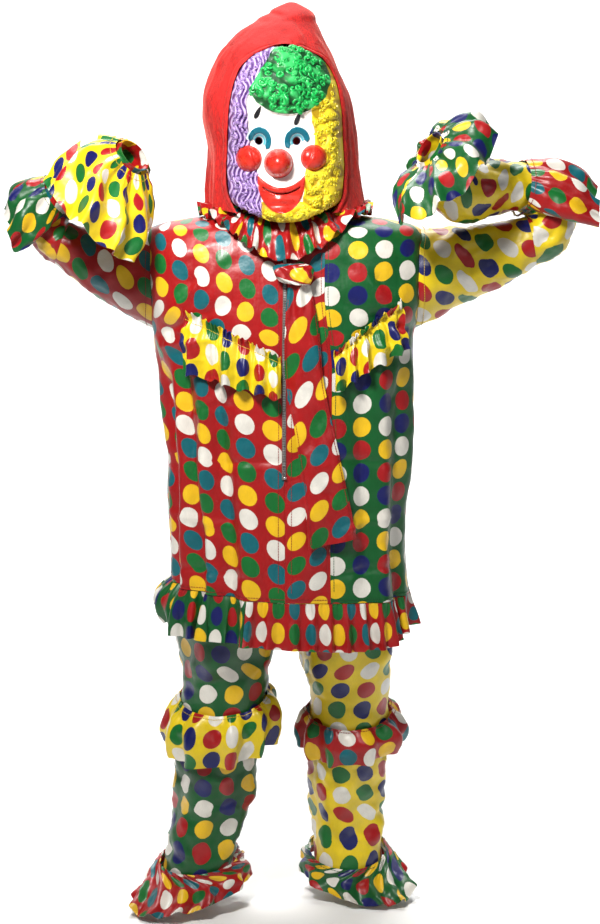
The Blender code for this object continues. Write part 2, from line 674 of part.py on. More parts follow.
def elbow_reach(middle):
    """Length of an elbow frill: short in the crook, whose angle is given, else full."""
    def reach(a):
        away = np.abs((a - middle + math.pi) % (2 * math.pi) - math.pi)
        return 0.03 + 0.97 * smooth((away - math.radians(38)) / math.radians(36))

    return reach


def wrist_reach(a):
    """Length of a wrist frill: full in front, short behind the forearm."""
    away = np.abs((a - math.radians(98) + math.pi) % (2 * math.pi) - math.pi)
    return 0.34 + 0.66 * smooth((away - math.radians(40)) / math.radians(50))


def build_limb_frills(carrier):
    """Frills of the elbows, wrists, knees and feet."""
    build_frill("elbow_frill_left", ELBOW_FRILL_LEFT, 8, 0.4, "red", carrier, rows=4,
                reach=elbow_reach(0.0))
    build_frill("elbow_frill_right", ELBOW_FRILL_RIGHT, 8, 1.9, "green", carrier, rows=4,
                reach=elbow_reach(math.pi))
    build_frill("wrist_frill_left", WRIST_FRILL_LEFT, 9, 1.2, "green", carrier, rows=4,
                reach=wrist_reach)
    build_frill("wrist_frill_right", WRIST_FRILL_RIGHT, 9, 2.6, "yellow", carrier, rows=4,
                reach=wrist_reach)
    build_frill("knee_frill_left", KNEE_FRILL_LEFT, 10, 0.9, "red", carrier)
    build_frill("knee_frill_right", KNEE_FRILL_RIGHT, 10, 2.2, "yellow", carrier)
    build_frill("foot_frill_left", FOOT_FRILL_LEFT, 11, 1.5, "green", carrier, rows=4)
    build_frill("foot_frill_right", FOOT_FRILL_RIGHT, 11, 0.2, "red", carrier, rows=4)


HEM_SPLIT = -0.049         # x at the front where the green hem frill meets the red one
HEM_SEED = 0.7
HEM_COUNT = 32


def hem_lobe(a):
    """Share of the loose bulge that the hem frill has at the right side."""
    away = (a + 2 * math.pi) % (2 * math.pi) - math.radians(178)
    return np.exp(-(away / math.radians(24)) ** 2)


def hem_base(v, a):
    """Hem frill without its folds: it hangs from the tunic's edge and flares."""
    top = torso_shape(hem_height(a), a)
    middle = np.array([0.007, 0.0, 0.0])
    out = (top - middle) * np.array([1, 1, 0])
    out = out / np.linalg.norm(out, axis=-1, keepdims=True)
    left = np.exp(-(((a + math.pi) % (2 * math.pi) - math.pi) / math.radians(38)) ** 2)
    short = 1 - 0.20 * hem_lobe(a) - 0.30 * left
    flare = 0.008 * v * (1 - 0.8 * left) + 0.020 * hem_lobe(a) * np.sin(math.pi * v)
    drop = 0.0010 + HEM_FRILL * v * short * (1 - 0.05 * np.sin(3 * a + 1.0))
    return top + out * flare[..., None] - np.array([0, 0, 1.0]) * drop[..., None]


def hem_shape(v, a):
    """Hem frill with its folds."""
    phase, size = folds(HEM_COUNT, (a + math.pi) / (2 * math.pi), HEM_SEED)
    height = (0.0006 + 0.0060 * v * (1.3 - 0.3 * v)) * (1 - 0.6 * hem_lobe(a))
    amount = height * size * np.sin(2 * math.pi * phase)
    return hem_base(v, a) + normal(hem_base, v, a) * amount[..., None]


def build_hem_frill(carrier):
    """Hem frill in its two colours, parted at the front and at the middle of the back."""
    places = 2 * math.pi * fold_places(HEM_COUNT, HEM_SEED, True) - math.pi
    front = float(angle_at_x(0.43, HEM_SPLIT))
    back = math.pi / 2
    gap = 0.0025
    left = [front + gap] + [p for p in places if front + 0.02 < p < back - 0.02] + [back - gap]
    right = [p for p in places if p > back + 0.02]
    right += [p + 2 * math.pi for p in places if p < front - 0.02]
    right = [back + gap] + right + [front + 2 * math.pi - gap]
    v = np.linspace(0, 1, 3)[:, None]

    def wrapped(v, a):
        return hem_shape(v, (a + math.pi) % (2 * math.pi) - math.pi)

    for name, angles, colour in (("hem_frill_left", left, "red"),
                                 ("hem_frill_right", right, "green")):
        sheet(name, wrapped, v, np.array(angles)[None], colour, carrier)


def build_collar(carrier):
    """Round gathered collar."""
    build_frill("collar_frill", COLLAR, 20, 1.1, "red", carrier, rows=3, toward=(0, 0, 1))


def chest_point(z, x, stand):
    """Point in front of the tunic at heights z and places x, standing off it."""
    def body(z, x):
        return torso_shape(z, angle_at_x(z, x))

    return body(z, x) + normal(body, z, x) * np.asarray(stand)[..., None]


def flounce_shape(flounce, count, seed):
    """Chest frill: v goes down it and a goes from the middle to the armhole, 0 to 1."""
    def shape(v, a):
        phase, size = folds(count, a, seed)
        x = flounce.near + (flounce.far - flounce.near) * a
        top = flounce.near_top + (flounce.far_top - flounce.near_top) * a
        length = flounce.near_length + (flounce.far_length - flounce.near_length) * a
        fold = (0.0006 + 0.0040 * np.clip(v, 0, 1)) * size
        stand = LAP + WALL + fold * 1.2 - 0.0004 + 0.004 * v + fold * np.sin(2 * math.pi * phase)
        return chest_point(top - length * v, x, stand)

    return shape


def build_chest(carrier):
    """Frills across the chest."""
    for name, flounce, count, seed in (("chest_frill_right", CHEST_RIGHT, 7, 0.3),
                                       ("chest_frill_left", CHEST_LEFT, 6, 1.4)):
        a = fold_places(count, seed, False)[None]
        v = np.linspace(0, 1, 3)[:, None]
        sheet(name, flounce_shape(flounce, count, seed), v, a, "yellow", carrier,
              toward=(0, -1, 0))


def build_tie(carrier):
    """Blade and knot of the necktie."""
    heights = [row.z for row in TIE][::-1]
    table = [row for row in TIE][::-1]

    def shape(v, a):
        row = follow(heights, table, v)
        inner, outer, stand = row[..., 1], row[..., 2], row[..., 3]
        x = inner + (outer - inner) * a
        bow = 0.0035 * np.sin(math.pi * a) + 0.0018 * np.sin(3 * math.pi * a + 40 * v)
        return chest_point(v + (0.004 - 0.016 * (1 - a)) * smooth((0.6 - v) / 0.1), x,
                           LAP + 0.0026 + stand + bow)

    v = np.linspace(TIE[0].z, TIE[-1].z, 9)[:, None]
    sheet("necktie_blade", shape, v, np.linspace(0, 1, 5)[None], "red", carrier,
          toward=(0, -1, 0), thickness=0.0024)
    knot = (Ring(z=0.8720, wide=0.0150, deep=0.0085, x=0.0190, y=-0.1175),
            Ring(z=0.8800, wide=0.0235, deep=0.0115, x=0.0140, y=-0.1170),
            Ring(z=0.8930, wide=0.0260, deep=0.0110, x=0.0110, y=-0.1155),
            Ring(z=0.8990, wide=0.0180, deep=0.0070, x=0.0100, y=-0.1110))
    solid_stack("necktie_knot", knot, 14, "red", carrier)


def solid_stack(name, rings, columns, colour, carrier):
    """Filled solid through rings, flat at both ends."""
    a = np.arange(columns) * 2 * math.pi / columns
    shape = tube_shape(rings)
    points = shape(np.arange(len(rings))[:, None] * np.ones(columns), a[None])
    faces = grid_faces(len(rings), columns, True, lambda i: i)
    last = (len(rings) - 1) * columns
    for c in range(1, columns - 1):
        faces.append((0, c + 1, c))
        faces.append((last, last + c, last + c + 1))
    add_solid(name, points.reshape(-1, 3), faces, colour, carrier)


def build_zip(carrier):
    """Tape of the front zip, and its slider under the collar."""
    def shape(v, a):
        return chest_point(v, 0.0030 * a, SEAM + 0.0013 + 0.0 * v)

    v = np.linspace(0.906, 0.612, 8)[:, None]
    sheet("zip_tape", shape, v, np.array([[-1.0, 1.0]]), "zip white", carrier,
          toward=(0, -1, 0), thickness=0.0010)
    rings = []
    for z, half in ((0.9066, 0.0030), (0.9090, 0.0040), (0.9130, 0.0045), (0.9155, 0.0028)):
        y = float(torso_shape(np.array(z), np.array(-math.pi / 2))[1])
        rings.append(Ring(z=z, wide=half, deep=0.0016, y=y - 0.0022, square=3.0))
    solid_stack("zip_slider", rings, 10, "zip metal", carrier)


# ---------------------------------------------------------------- trousers
LEG_COLUMNS = 12


def trouser_angle(rings, v, share, side):
    """Angles of a trouser piece: open at the rise, closed round from the crotch down."""
    section = follow(np.arange(len(rings)), rings, v)
    part = (HALF_SEAM - side * section[..., 3]) / section[..., 1]
    limit = np.arccos(np.clip(part, -1, 1))
    angle = limit * share
    return angle if side > 0 else math.pi - angle


def build_trousers(carrier):
    """Both halves of the trousers and their lower legs."""
    for side, word, upper, lower, colour in (
            (1, "left", TROUSER_LEFT, SHIN_LEFT, "yellow"),
            (-1, "right", TROUSER_RIGHT, SHIN_RIGHT, "green")):
        keys = np.array([0, 0.5, 1, 1.5, 2, 2.5, 3, 3.5, 4, 5, 6.0])
        columns = LEG_COLUMNS + 1
        share = np.linspace(-1, 1, columns)
        v = np.repeat(keys[:, None], columns, axis=1)
        a = trouser_angle(upper, v, share[None], side)
        first_closed = 6 * columns

        def same(i, first=first_closed, width=columns):
            return i - width + 1 if i >= first and i % width == width - 1 else i

        shape = tube_shape(upper, waves=4, seed=0.3 * side)
        sheet(f"trouser_upper_{word}", shape, v, a, colour, carrier, same=same)
        around = np.arange(LEG_COLUMNS) * 2 * math.pi / LEG_COLUMNS
        rows = np.linspace(0, len(lower) - 1, 7)[:, None]
        sheet(f"trouser_lower_{word}", tube_shape(lower, waves=4, seed=1.2), rows,
              around[None], colour, carrier, closed=True)


# ---------------------------------------------------------------- hood and mask
HOOD_HEIGHTS = [ring.z for ring in HOOD]
FACE_HEIGHTS = [row.z for row in FACE]
FACE_TOP = 1.1850
FACE_MIDDLE = 0.0010       # x of the middle of the face opening
HOOD_EDGE_ANGLES = (0.0, 0.8, 1.3, 1.7, 2.3, 3.2)   # round from the front
HOOD_EDGE = ((0.9644,), (0.9653,), (0.9728,), (0.9734,), (0.9668,), (0.9600,))   # heights


def hood_shape(z, a):
    """Hood at heights z; a is 0 at the middle of the front and goes round to the left."""
    section = follow(HOOD_HEIGHTS, HOOD, z)
    fold = 0.0035 * smooth((1.06 - z) / 0.10) * np.sin(11 * a + 0.7)
    away = smooth((np.abs(a) - 1.0) / 0.5)
    return put_ring(section, a - math.pi / 2, fold * away)


def hood_middle(z):
    """Place in x of the line where the hood's halves meet."""
    peak = follow(HOOD_HEIGHTS, HOOD, z)[..., 3]
    return FACE_MIDDLE + (peak - FACE_MIDDLE) * smooth((z - FACE_TOP) / 0.03)


def opening_half(z):
    """Half width of the face opening at heights z."""
    half = follow(FACE_HEIGHTS, FACE, np.clip(z, FACE[1].z, FACE[-1].z))[..., 1]
    closing = np.clip((FACE_TOP - z) / (FACE_TOP - FACE[-1].z), 0, 1)
    return np.where(z > FACE[-1].z, half * np.sqrt(closing), half)


def opening_angle(z, side, half=None):
    """Angle from the middle of the hood's front to one edge of the face opening."""
    section = follow(HOOD_HEIGHTS, HOOD, z)
    half = np.maximum(opening_half(z), HALF_SEAM) if half is None else half
    x = hood_middle(z) + side * half - section[..., 3]
    return np.arcsin(np.clip(x / section[..., 1], -1, 1))


def build_hood(carrier):
    """Both halves of the hood, joined down the middle of the back and over the crown."""
    heights = np.array([0.955, 0.977, 1.000, 1.028, 1.060, 1.092, 1.120, 1.143, 1.153,
                        1.162, 1.173, 1.1815, 1.186, 1.200, 1.215, 1.228, 1.240])
    share = np.linspace(0, 1, 12)
    z = np.repeat(heights[:, None], 12, axis=1)
    for side, word in ((1, "left"), (-1, "right")):
        for _ in range(3):
            start = opening_angle(z[:, 0], side)
            section = follow(HOOD_HEIGHTS, HOOD, heights)
            middle = (hood_middle(heights) + side * HALF_SEAM - section[:, 3]) / section[:, 1]
            end = side * math.pi - np.arcsin(np.clip(middle, -1, 1))
            a = start[:, None] + (end - start)[:, None] * share
            z[0] = follow(HOOD_EDGE_ANGLES, HOOD_EDGE, np.abs(a[0]))[:, 0]
            z[1] = (z[0] + z[2]) / 2
        sheet(f"hood_{word}", hood_shape, z, a, "hood red", carrier,
              toward=(side, 0.2, 0.3))


def mask_relief(x, z):
    """How far the mask's forms stand out at places x, z."""
    rise = np.zeros_like(x)
    for bump in BUMPS:
        far = np.hypot((x - bump.x) / bump.wide, (z - bump.z) / bump.high)
        if bump.ball:
            rise = rise + bump.rise * np.clip(1 - far**2, 0, 1) ** 0.7
        else:
            rise = rise + bump.rise * np.exp(-1.6 * far**2)
    return rise


def mask_shape(v, a):
    """Mask at v, 0 to 1 from chin to top, and a, -1 to 1 from right to left."""
    z = FACE[0].z + (FACE[-1].z - FACE[0].z) * v
    row = follow(FACE_HEIGHTS, FACE, z)
    half, bulge = row[..., 1], row[..., 2]
    section = follow(HOOD_HEIGHTS, HOOD, z)
    left, right = (put_ring(section, opening_angle(z, side, half) - math.pi / 2)[..., 1]
                   for side in (1, -1))
    x = FACE_MIDDLE + (half - 0.0014) * a
    inside = np.clip(1 - np.abs(a) ** 2.2, 0, 1)
    rim = left * (1 + a) / 2 + right * (1 - a) / 2
    y = rim - SEAM - 0.0012 - bulge * inside**0.8
    fade = smooth(inside / 0.25)
    return np.stack([x, y - mask_relief(x, z) * fade, z + 0.0 * a], -1)


def build_mask(carrier):
    """Shell of the mask with its two eye holes."""
    low, high = FACE[0].z, FACE[-1].z
    rows = [0.953, 0.960, 0.970, 0.980, 0.990, 1.000, 1.009, 1.019, 1.028, 1.038, 1.047,
            EYES[0][1] - EYE_HALF, EYES[0][1] + EYE_HALF, 1.074, 1.083, 1.092, 1.106, 1.120,
            1.132, 1.143, 1.153, 1.162, 1.173, 1.181]
    xs = [-1.0, -0.86, -0.72, -0.56, "r0", "r1", -0.22, -0.09, 0.04, "l0", "l1", 0.46, 0.58,
          0.72, 0.86, 1.0]
    v = np.repeat(((np.array(rows) - low) / (high - low))[:, None], len(xs), axis=1)
    a = np.zeros_like(v)
    eyes = {"r0": EYES[0][0] - EYE_HALF, "r1": EYES[0][0] + EYE_HALF,
            "l0": EYES[1][0] - EYE_HALF, "l1": EYES[1][0] + EYE_HALF}
    eye_row = rows.index(EYES[0][1] - EYE_HALF)
    z = EYES[0][1]
    half = float(follow(FACE_HEIGHTS, FACE, z)[1])
    for c, place in enumerate(xs):
        a[:, c] = (eyes[place] - FACE_MIDDLE) / half if place in eyes else place
    holes = {(eye_row, xs.index("r0")), (eye_row, xs.index("l0"))}
    sheet("mask", mask_shape, v, a, "mask white", carrier, toward=(0, -1, 0), holes=holes,
          thickness=SHELL)


# ---------------------------------------------------------------- main
def main():
    """Build every piece in the order in which it is sewn."""
    for item in list(bpy.data.objects):
        bpy.data.objects.remove(item, do_unlink=True)
    carrier = bpy.data.objects.new("costume", None)
    carrier.location = (0, 0, -NECK_HEIGHT)
    bpy.context.scene.collection.objects.link(carrier)
    build_tunic(carrier)
    build_sleeves(carrier)
    build_limb_frills(carrier)
    build_hem_frill(carrier)
    build_collar(carrier)
    build_chest(carrier)
    build_tie(carrier)
    build_zip(carrier)
    build_trousers(carrier)
    build_hood(carrier)
    build_mask(carrier)


main()
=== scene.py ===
"""Looks of a child's clown costume: cloth, plush, painted mask, sewing and zip.

Every form is a table of sections in metres above the floor that the wearer stands on,
moved down by NECK_HEIGHT into the frame. The wearer would face -Y.
"""
from __future__ import annotations

import logging
import math
import sys
from dataclasses import dataclass, field
from enum import Enum
from typing import Callable, NamedTuple, Sequence, Union

import bmesh
import bpy
import numpy as np
from bpy.types import Material, Mesh, Node, NodeSocket, NodeTree, Object
from mathutils import Matrix, Vector

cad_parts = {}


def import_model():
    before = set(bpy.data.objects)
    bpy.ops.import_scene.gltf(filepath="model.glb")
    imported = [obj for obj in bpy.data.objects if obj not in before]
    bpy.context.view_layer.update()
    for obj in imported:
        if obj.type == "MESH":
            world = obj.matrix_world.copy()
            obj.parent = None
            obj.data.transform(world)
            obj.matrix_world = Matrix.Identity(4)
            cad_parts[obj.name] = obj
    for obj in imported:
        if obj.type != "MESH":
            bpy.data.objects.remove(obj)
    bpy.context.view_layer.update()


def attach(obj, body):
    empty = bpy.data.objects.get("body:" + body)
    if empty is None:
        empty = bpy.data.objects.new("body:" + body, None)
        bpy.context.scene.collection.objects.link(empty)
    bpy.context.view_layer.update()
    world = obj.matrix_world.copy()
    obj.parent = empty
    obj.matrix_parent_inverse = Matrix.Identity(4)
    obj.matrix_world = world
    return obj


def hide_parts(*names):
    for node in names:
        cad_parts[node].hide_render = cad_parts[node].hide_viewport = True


LOG = logging.getLogger("costume")

NECK_HEIGHT = 0.95         # base of the neck above the floor
WALL = 0.0014              # thickness of the cloth
SEAM = 0.0003              # gap between two pieces that are sewn together
HALF_SEAM = SEAM / 2
LAP = 0.0008               # gap under a piece that lies on another
UNDERARM = 0.804           # lowest point of the armholes
ARMHOLE_HALF = 0.069       # half height of an armhole
ARMHOLE_DEEP = 0.055       # half depth of an armhole, front to back
ARMHOLE_MIDDLE = UNDERARM + ARMHOLE_HALF
PLACKET = 0.062            # width of the strip beside the front zip
NECK_RIM = 0.96            # height of the tunic's neck edge
CROTCH = 0.428             # lowest point of the trousers' rise
TAU = 2 * math.pi
BASE = np.array([0, 0, NECK_HEIGHT])   # the frame's origin above the floor
FORWARD = (0, -1, 0)       # way that the wearer faces
FRILL_WALL = 0.0012        # thickness of a frill's cloth
CHEST_WALL = 0.001         # thickness of the chest frills' cloth
TIE_WALL = 0.0024          # thickness of the necktie's folded blade
TAPE_WALL = 0.0008         # thickness of the zip's tape
PLUSH_WALL = 0.002         # thickness of the hood's plush
SHARP = math.radians(50)   # edges over this angle are shaded as sharp
HEADING = 0.16             # part of its length that a chest frill stands over its seam

Points = np.ndarray
Surface = Callable[[np.ndarray, np.ndarray], np.ndarray]
Input = Union[NodeSocket, float, tuple]   # link to a node's input, or its value


# ---------------------------------------------------------------- tables
class Ring(NamedTuple):
    """One section of a tube.

    Attributes:
        z, x, y: Its middle.
        wide, deep: Its half sizes.
        tilt, turn, spin: Degrees by which its plane is turned.
        saddle: How high its sides stand over its front and back.
        ripple: Height of its folds.
        square: 2 for an ellipse, more for a squarer form.
        side, back: Rise of the sides towards +X and +Y.
    """

    z: float
    wide: float
    deep: float
    x: float = 0.0
    y: float = 0.0
    tilt: float = 0.0
    turn: float = 0.0
    spin: float = 0.0
    saddle: float = 0.0
    ripple: float = 0.0
    square: float = 2.0
    side: float = 0.0
    back: float = 0.0


class Elbow(NamedTuple):
    """The bend between the two parts of a sleeve, in the plane of its tilt."""

    x: float
    z: float
    radius: float
    start: float
    end: float
    wide: float
    deep: float


class Opening(NamedTuple):
    """Half width of the hood's face opening, and how far the mask stands out of it."""

    z: float
    half: float
    bulge: float


class Bump(NamedTuple):
    """A raised or sunk form of the mask."""

    x: float
    z: float
    wide: float
    high: float
    rise: float
    ball: bool = False

    def away(self, x: Points, z: Points) -> Points:
        """Distance from its middle, 1 at its edge."""
        return np.hypot((x - self.x) / self.wide, (z - self.z) / self.high)


class Strip(NamedTuple):
    """A cross line of the necktie's blade: height, two edges and how far it stands off."""

    z: float
    inner: float
    outer: float
    stand: float = 0.0


class Flounce(NamedTuple):
    """A chest frill: its ends, the heights of its sewn edge, its lengths and folds."""

    near: float
    far: float
    near_top: float
    far_top: float
    near_length: float
    far_length: float
    count: int
    seed: float


class Crease(NamedTuple):
    """A soft ridge (rise above 0) or trough of the cloth between two places x, z."""

    x0: float
    z0: float
    x1: float
    z1: float
    width: float
    rise: float
    back: bool = False


class Flute(NamedTuple):
    """A hanging fold of the tunic: angles at both ends in degrees, heights and sizes."""

    top: float
    low: float
    high_z: float
    low_z: float
    width: float
    rise: float


TORSO = (
    Ring(0.425, 0.161, 0.118, 0.007, ripple=0.0045, square=2.4),
    Ring(0.5, 0.159, 0.116, 0.005, ripple=0.004, square=2.4),
    Ring(0.568, 0.161, 0.112, 0.005, ripple=0.003, square=2.4),
    Ring(0.65, 0.166, 0.109, 0.005, ripple=0.0015, square=2.4),
    Ring(0.74, 0.172, 0.108, 0.002, square=2.4),
    Ring(0.804, 0.18, 0.107, -0.001, square=2.5),
    Ring(0.84, 0.187, 0.105, square=2.9),
    Ring(0.873, 0.189, 0.102, square=3.0),
    Ring(0.915, 0.189, 0.094, square=2.9),
    Ring(0.933, 0.187, 0.087, square=2.6),
    Ring(0.943, 0.177, 0.083, square=2.3),
    Ring(0.951, 0.146, 0.078, y=0.001, square=2.1),
    Ring(0.957, 0.1, 0.071, y=0.003),
    Ring(NECK_RIM, 0.068, 0.064, y=0.004),
)

TROUSER_LEFT = (
    Ring(0.61, 0.126, 0.092, 0.0002),
    Ring(0.54, 0.118, 0.098, 0.018, 0.005),
    Ring(0.48, 0.093, 0.099, 0.05, 0.008),
    Ring(CROTCH, 0.0745, 0.088, 0.075, ripple=0.0005),
    Ring(0.345, 0.064, 0.07, 0.0825, 0.01, ripple=0.004),
    Ring(0.29, 0.056, 0.059, 0.089, 0.024),
    Ring(0.245, 0.056, 0.059, 0.089, 0.031),
)
SHIN_LEFT = (
    Ring(0.2445, 0.056, 0.059, 0.089, 0.0311),
    Ring(0.205, 0.054, 0.056, 0.087, 0.037, ripple=0.003),
    Ring(0.15, 0.0515, 0.054, 0.084, 0.044, ripple=0.0045),
    Ring(0.105, 0.049, 0.051, 0.085, 0.049, ripple=0.004),
    Ring(0.054, 0.049, 0.052, 0.088, 0.045, ripple=0.001, back=0.02),
)
TROUSER_RIGHT = (
    Ring(0.61, 0.126, 0.092, -0.0002),
    Ring(0.54, 0.118, 0.098, -0.018, 0.0048),
    Ring(0.48, 0.093, 0.099, -0.05, 0.0052),
    Ring(CROTCH, 0.0745, 0.088, -0.075, ripple=0.0005),
    Ring(0.35, 0.062, 0.07, -0.084, ripple=0.004),
    Ring(0.318, 0.0585, 0.061, -0.085),
    Ring(0.267, 0.0575, 0.06, -0.088, 0.002),
)
SHIN_RIGHT = (
    Ring(0.2665, 0.0575, 0.06, -0.088, 0.002),
    Ring(0.222, 0.0555, 0.057, -0.095, 0.004, ripple=0.003),
    Ring(0.159, 0.0535, 0.055, -0.1005, 0.004, ripple=0.0045),
    Ring(0.105, 0.05, 0.052, -0.112, 0.003, ripple=0.004),
    Ring(0.056, 0.049, 0.051, -0.123, ripple=0.001, side=0.006, back=0.013),
)
KNEE_FRILL_LEFT = (
    Ring(0.27, 0.0599, 0.061, 0.089, 0.0275, ripple=0.0012, back=0.018),
    Ring(0.256, 0.07, 0.071, 0.0925, 0.03, ripple=0.004, back=0.018),
    Ring(0.24, 0.073, 0.076, 0.094, 0.033, ripple=0.006, side=0.003, back=0.018),
    Ring(0.221, 0.067, 0.072, 0.0935, 0.036, ripple=0.0055, side=0.006, back=0.019),
)
KNEE_FRILL_RIGHT = (
    Ring(0.297, 0.0611, 0.0634, -0.0862, 0.0005, ripple=0.0012, side=0.003, back=0.018),
    Ring(0.279, 0.0755, 0.074, -0.0885, ripple=0.004, side=0.01, back=0.019),
    Ring(0.259, 0.079, 0.079, -0.09, 0.001, ripple=0.006, side=0.013, back=0.021),
    Ring(0.231, 0.071, 0.075, -0.0915, 0.002, ripple=0.0065, side=0.006, back=0.023),
)
FOOT_FRILL_LEFT = (
    Ring(0.064, 0.0541, 0.0557, 0.0877, 0.0461, ripple=0.001, back=0.017),
    Ring(0.0505, 0.066, 0.06, 0.0895, 0.043, spin=-30, ripple=0.003, side=-0.002, back=0.019),
    Ring(0.037, 0.081, 0.0625, 0.096, 0.036, spin=-40, ripple=0.0045, side=-0.005, back=0.02),
    Ring(0.0265, 0.088, 0.064, 0.101, 0.031, spin=-40, ripple=0.005, side=-0.006, back=0.02),
)
FOOT_FRILL_RIGHT = (
    Ring(0.065, 0.0555, 0.0572, -0.1208, 0.0008, ripple=0.001, side=0.005, back=0.011),
    Ring(0.051, 0.067, 0.061, -0.1225, -0.004, spin=30, ripple=0.003, side=0.007, back=0.012),
    Ring(0.036, 0.085, 0.063, -0.129, -0.019, spin=45, ripple=0.0045, side=0.01, back=0.012),
    Ring(0.024, 0.094, 0.065, -0.133, -0.026, spin=45, ripple=0.005, side=0.01, back=0.012),
)

SLEEVE_LEFT = (
    Ring(0.873, 0.069, 0.055, 0.184, tilt=88),
    Ring(0.888, 0.056, 0.054, 0.22, tilt=85, ripple=0.002),
    Ring(0.896, 0.05, 0.05, 0.254, tilt=82, ripple=0.003),
    Ring(0.905, 0.043, 0.047, 0.29, tilt=78, ripple=0.0025),
    Ring(0.9228, 0.034, 0.045, 0.3325, tilt=78),
)
SLEEVE_RIGHT = (
    Ring(0.873, 0.069, 0.055, -0.184, tilt=-88),
    Ring(0.883, 0.056, 0.054, -0.218, tilt=-82, ripple=0.002),
    Ring(0.894, 0.046, 0.049, -0.247, tilt=-74, ripple=0.003),
    Ring(0.906, 0.037, 0.045, -0.274, tilt=-70, ripple=0.0025),
    Ring(0.9195, 0.03, 0.043, -0.3011, tilt=-70),
)

ELBOW_LEFT = Elbow(x=0.325, z=0.958, radius=0.036, start=78, end=-80, wide=0.034, deep=0.045)
FOREARM_LEFT = (
    Ring(0.997, 0.037, 0.045, 0.286, -0.016, tilt=-88, turn=20, ripple=0.0015),
    Ring(0.992, 0.043, 0.046, 0.24, -0.043, tilt=-84, turn=28, ripple=0.003),
    Ring(1.012, 0.037, 0.037, 0.209, -0.063, tilt=-64, turn=28, ripple=0.0015),
    Ring(1.0405, 0.0262, 0.0268, 0.1955, -0.0742, tilt=-58, turn=26),
    Ring(1.05, 0.024, 0.025, 0.19, -0.078, tilt=-58, turn=24),
)
ELBOW_RIGHT = Elbow(x=-0.29, z=0.95, radius=0.0325, start=-70, end=58, wide=0.03, deep=0.043)
FOREARM_RIGHT = (
    Ring(0.998, 0.033, 0.04, -0.273, -0.024, tilt=57, turn=-20, ripple=0.002),
    Ring(1.0185, 0.0285, 0.03, -0.235, -0.0535, tilt=57, turn=-30, ripple=0.0015),
    Ring(1.035, 0.025, 0.026, -0.207, -0.0735, tilt=56, turn=-32),
    Ring(1.04, 0.024, 0.025, -0.198, -0.08, tilt=56, turn=-32),
)
ELBOW_FRILL_LEFT = (
    Ring(0.995, 0.0376, 0.052, 0.3165, -0.006, tilt=96, turn=12, ripple=0.0006),
    Ring(0.986, 0.044, 0.059, 0.348, -0.003, tilt=103, turn=5, ripple=0.003),
    Ring(0.971, 0.048, 0.066, 0.385, tilt=101, ripple=0.0045),
    Ring(0.956, 0.044, 0.071, 0.418, tilt=95, ripple=0.006),
)
ELBOW_FRILL_RIGHT = (
    Ring(0.9818, 0.0336, 0.0495, -0.3004, -0.0055, tilt=-122, turn=-16, ripple=0.0006),
    Ring(0.966, 0.043, 0.058, -0.323, -0.002, tilt=-120, turn=-6, ripple=0.003),
    Ring(0.945, 0.05, 0.066, -0.344, tilt=-117, ripple=0.0045),
    Ring(0.922, 0.052, 0.071, -0.362, tilt=-115, ripple=0.006),
)
WRIST_FRILL_LEFT = (
    Ring(1.0485, 0.0284, 0.0294, 0.1914, -0.0772, tilt=-60, turn=24, ripple=0.001),
    Ring(1.044, 0.054, 0.052, 0.198, -0.079, tilt=-48, turn=28, ripple=0.004),
    Ring(1.033, 0.077, 0.068, 0.199, -0.086, tilt=-41, turn=32, ripple=0.007),
    Ring(1.02, 0.096, 0.078, 0.201, -0.094, tilt=-37, turn=35, ripple=0.009),
)
WRIST_FRILL_RIGHT = (
    Ring(1.0375, 0.0282, 0.0292, -0.202, -0.0775, tilt=56, turn=-31, ripple=0.001),
    Ring(1.017, 0.054, 0.054, -0.219, -0.077, tilt=50, turn=-24, ripple=0.004),
    Ring(0.984, 0.07, 0.066, -0.237, -0.096, tilt=44, turn=-10, ripple=0.0065),
    Ring(0.955, 0.081, 0.068, -0.256, -0.108, tilt=42, turn=-5, ripple=0.0085),
)
COLLAR = (
    Ring(0.9628, 0.0675, 0.064, y=0.0035, ripple=0.0004),
    Ring(0.9535, 0.093, 0.092, y=0.001, saddle=0.015, ripple=0.0022),
    Ring(0.904, 0.118, 0.118, y=-0.001, saddle=0.061, ripple=0.0052),
)
HOOD = tuple(Ring(*row) for row in (
    (0.95, 0.108, 0.104, 0.003, 0.002), (0.99, 0.1035, 0.102, -0.001, 0.001),
    (1.045, 0.0995, 0.104, -0.003, 0.001), (1.09, 0.1015, 0.106, -0.011, 0.002),
    (1.115, 0.099, 0.106, -0.013, 0.003), (1.15, 0.086, 0.098, -0.014, 0.004),
    (1.185, 0.068, 0.08, -0.013, 0.006), (1.204, 0.0525, 0.062, -0.007, 0.008),
    (1.219, 0.037, 0.044, 0.001, 0.009), (1.23, 0.025, 0.029, 0.006, 0.01),
    (1.24, 0.006, 0.007, 0.008, 0.01),
))

FACE = tuple(Opening(*row) for row in (
    (0.953, 0.044, 0.02), (0.962, 0.06, 0.034), (0.978, 0.072, 0.042), (1.008, 0.078, 0.047),
    (1.06, 0.077, 0.048), (1.113, 0.073, 0.044), (1.14, 0.066, 0.038), (1.158, 0.056, 0.03),
    (1.172, 0.04, 0.02), (1.181, 0.02, 0.008),
))

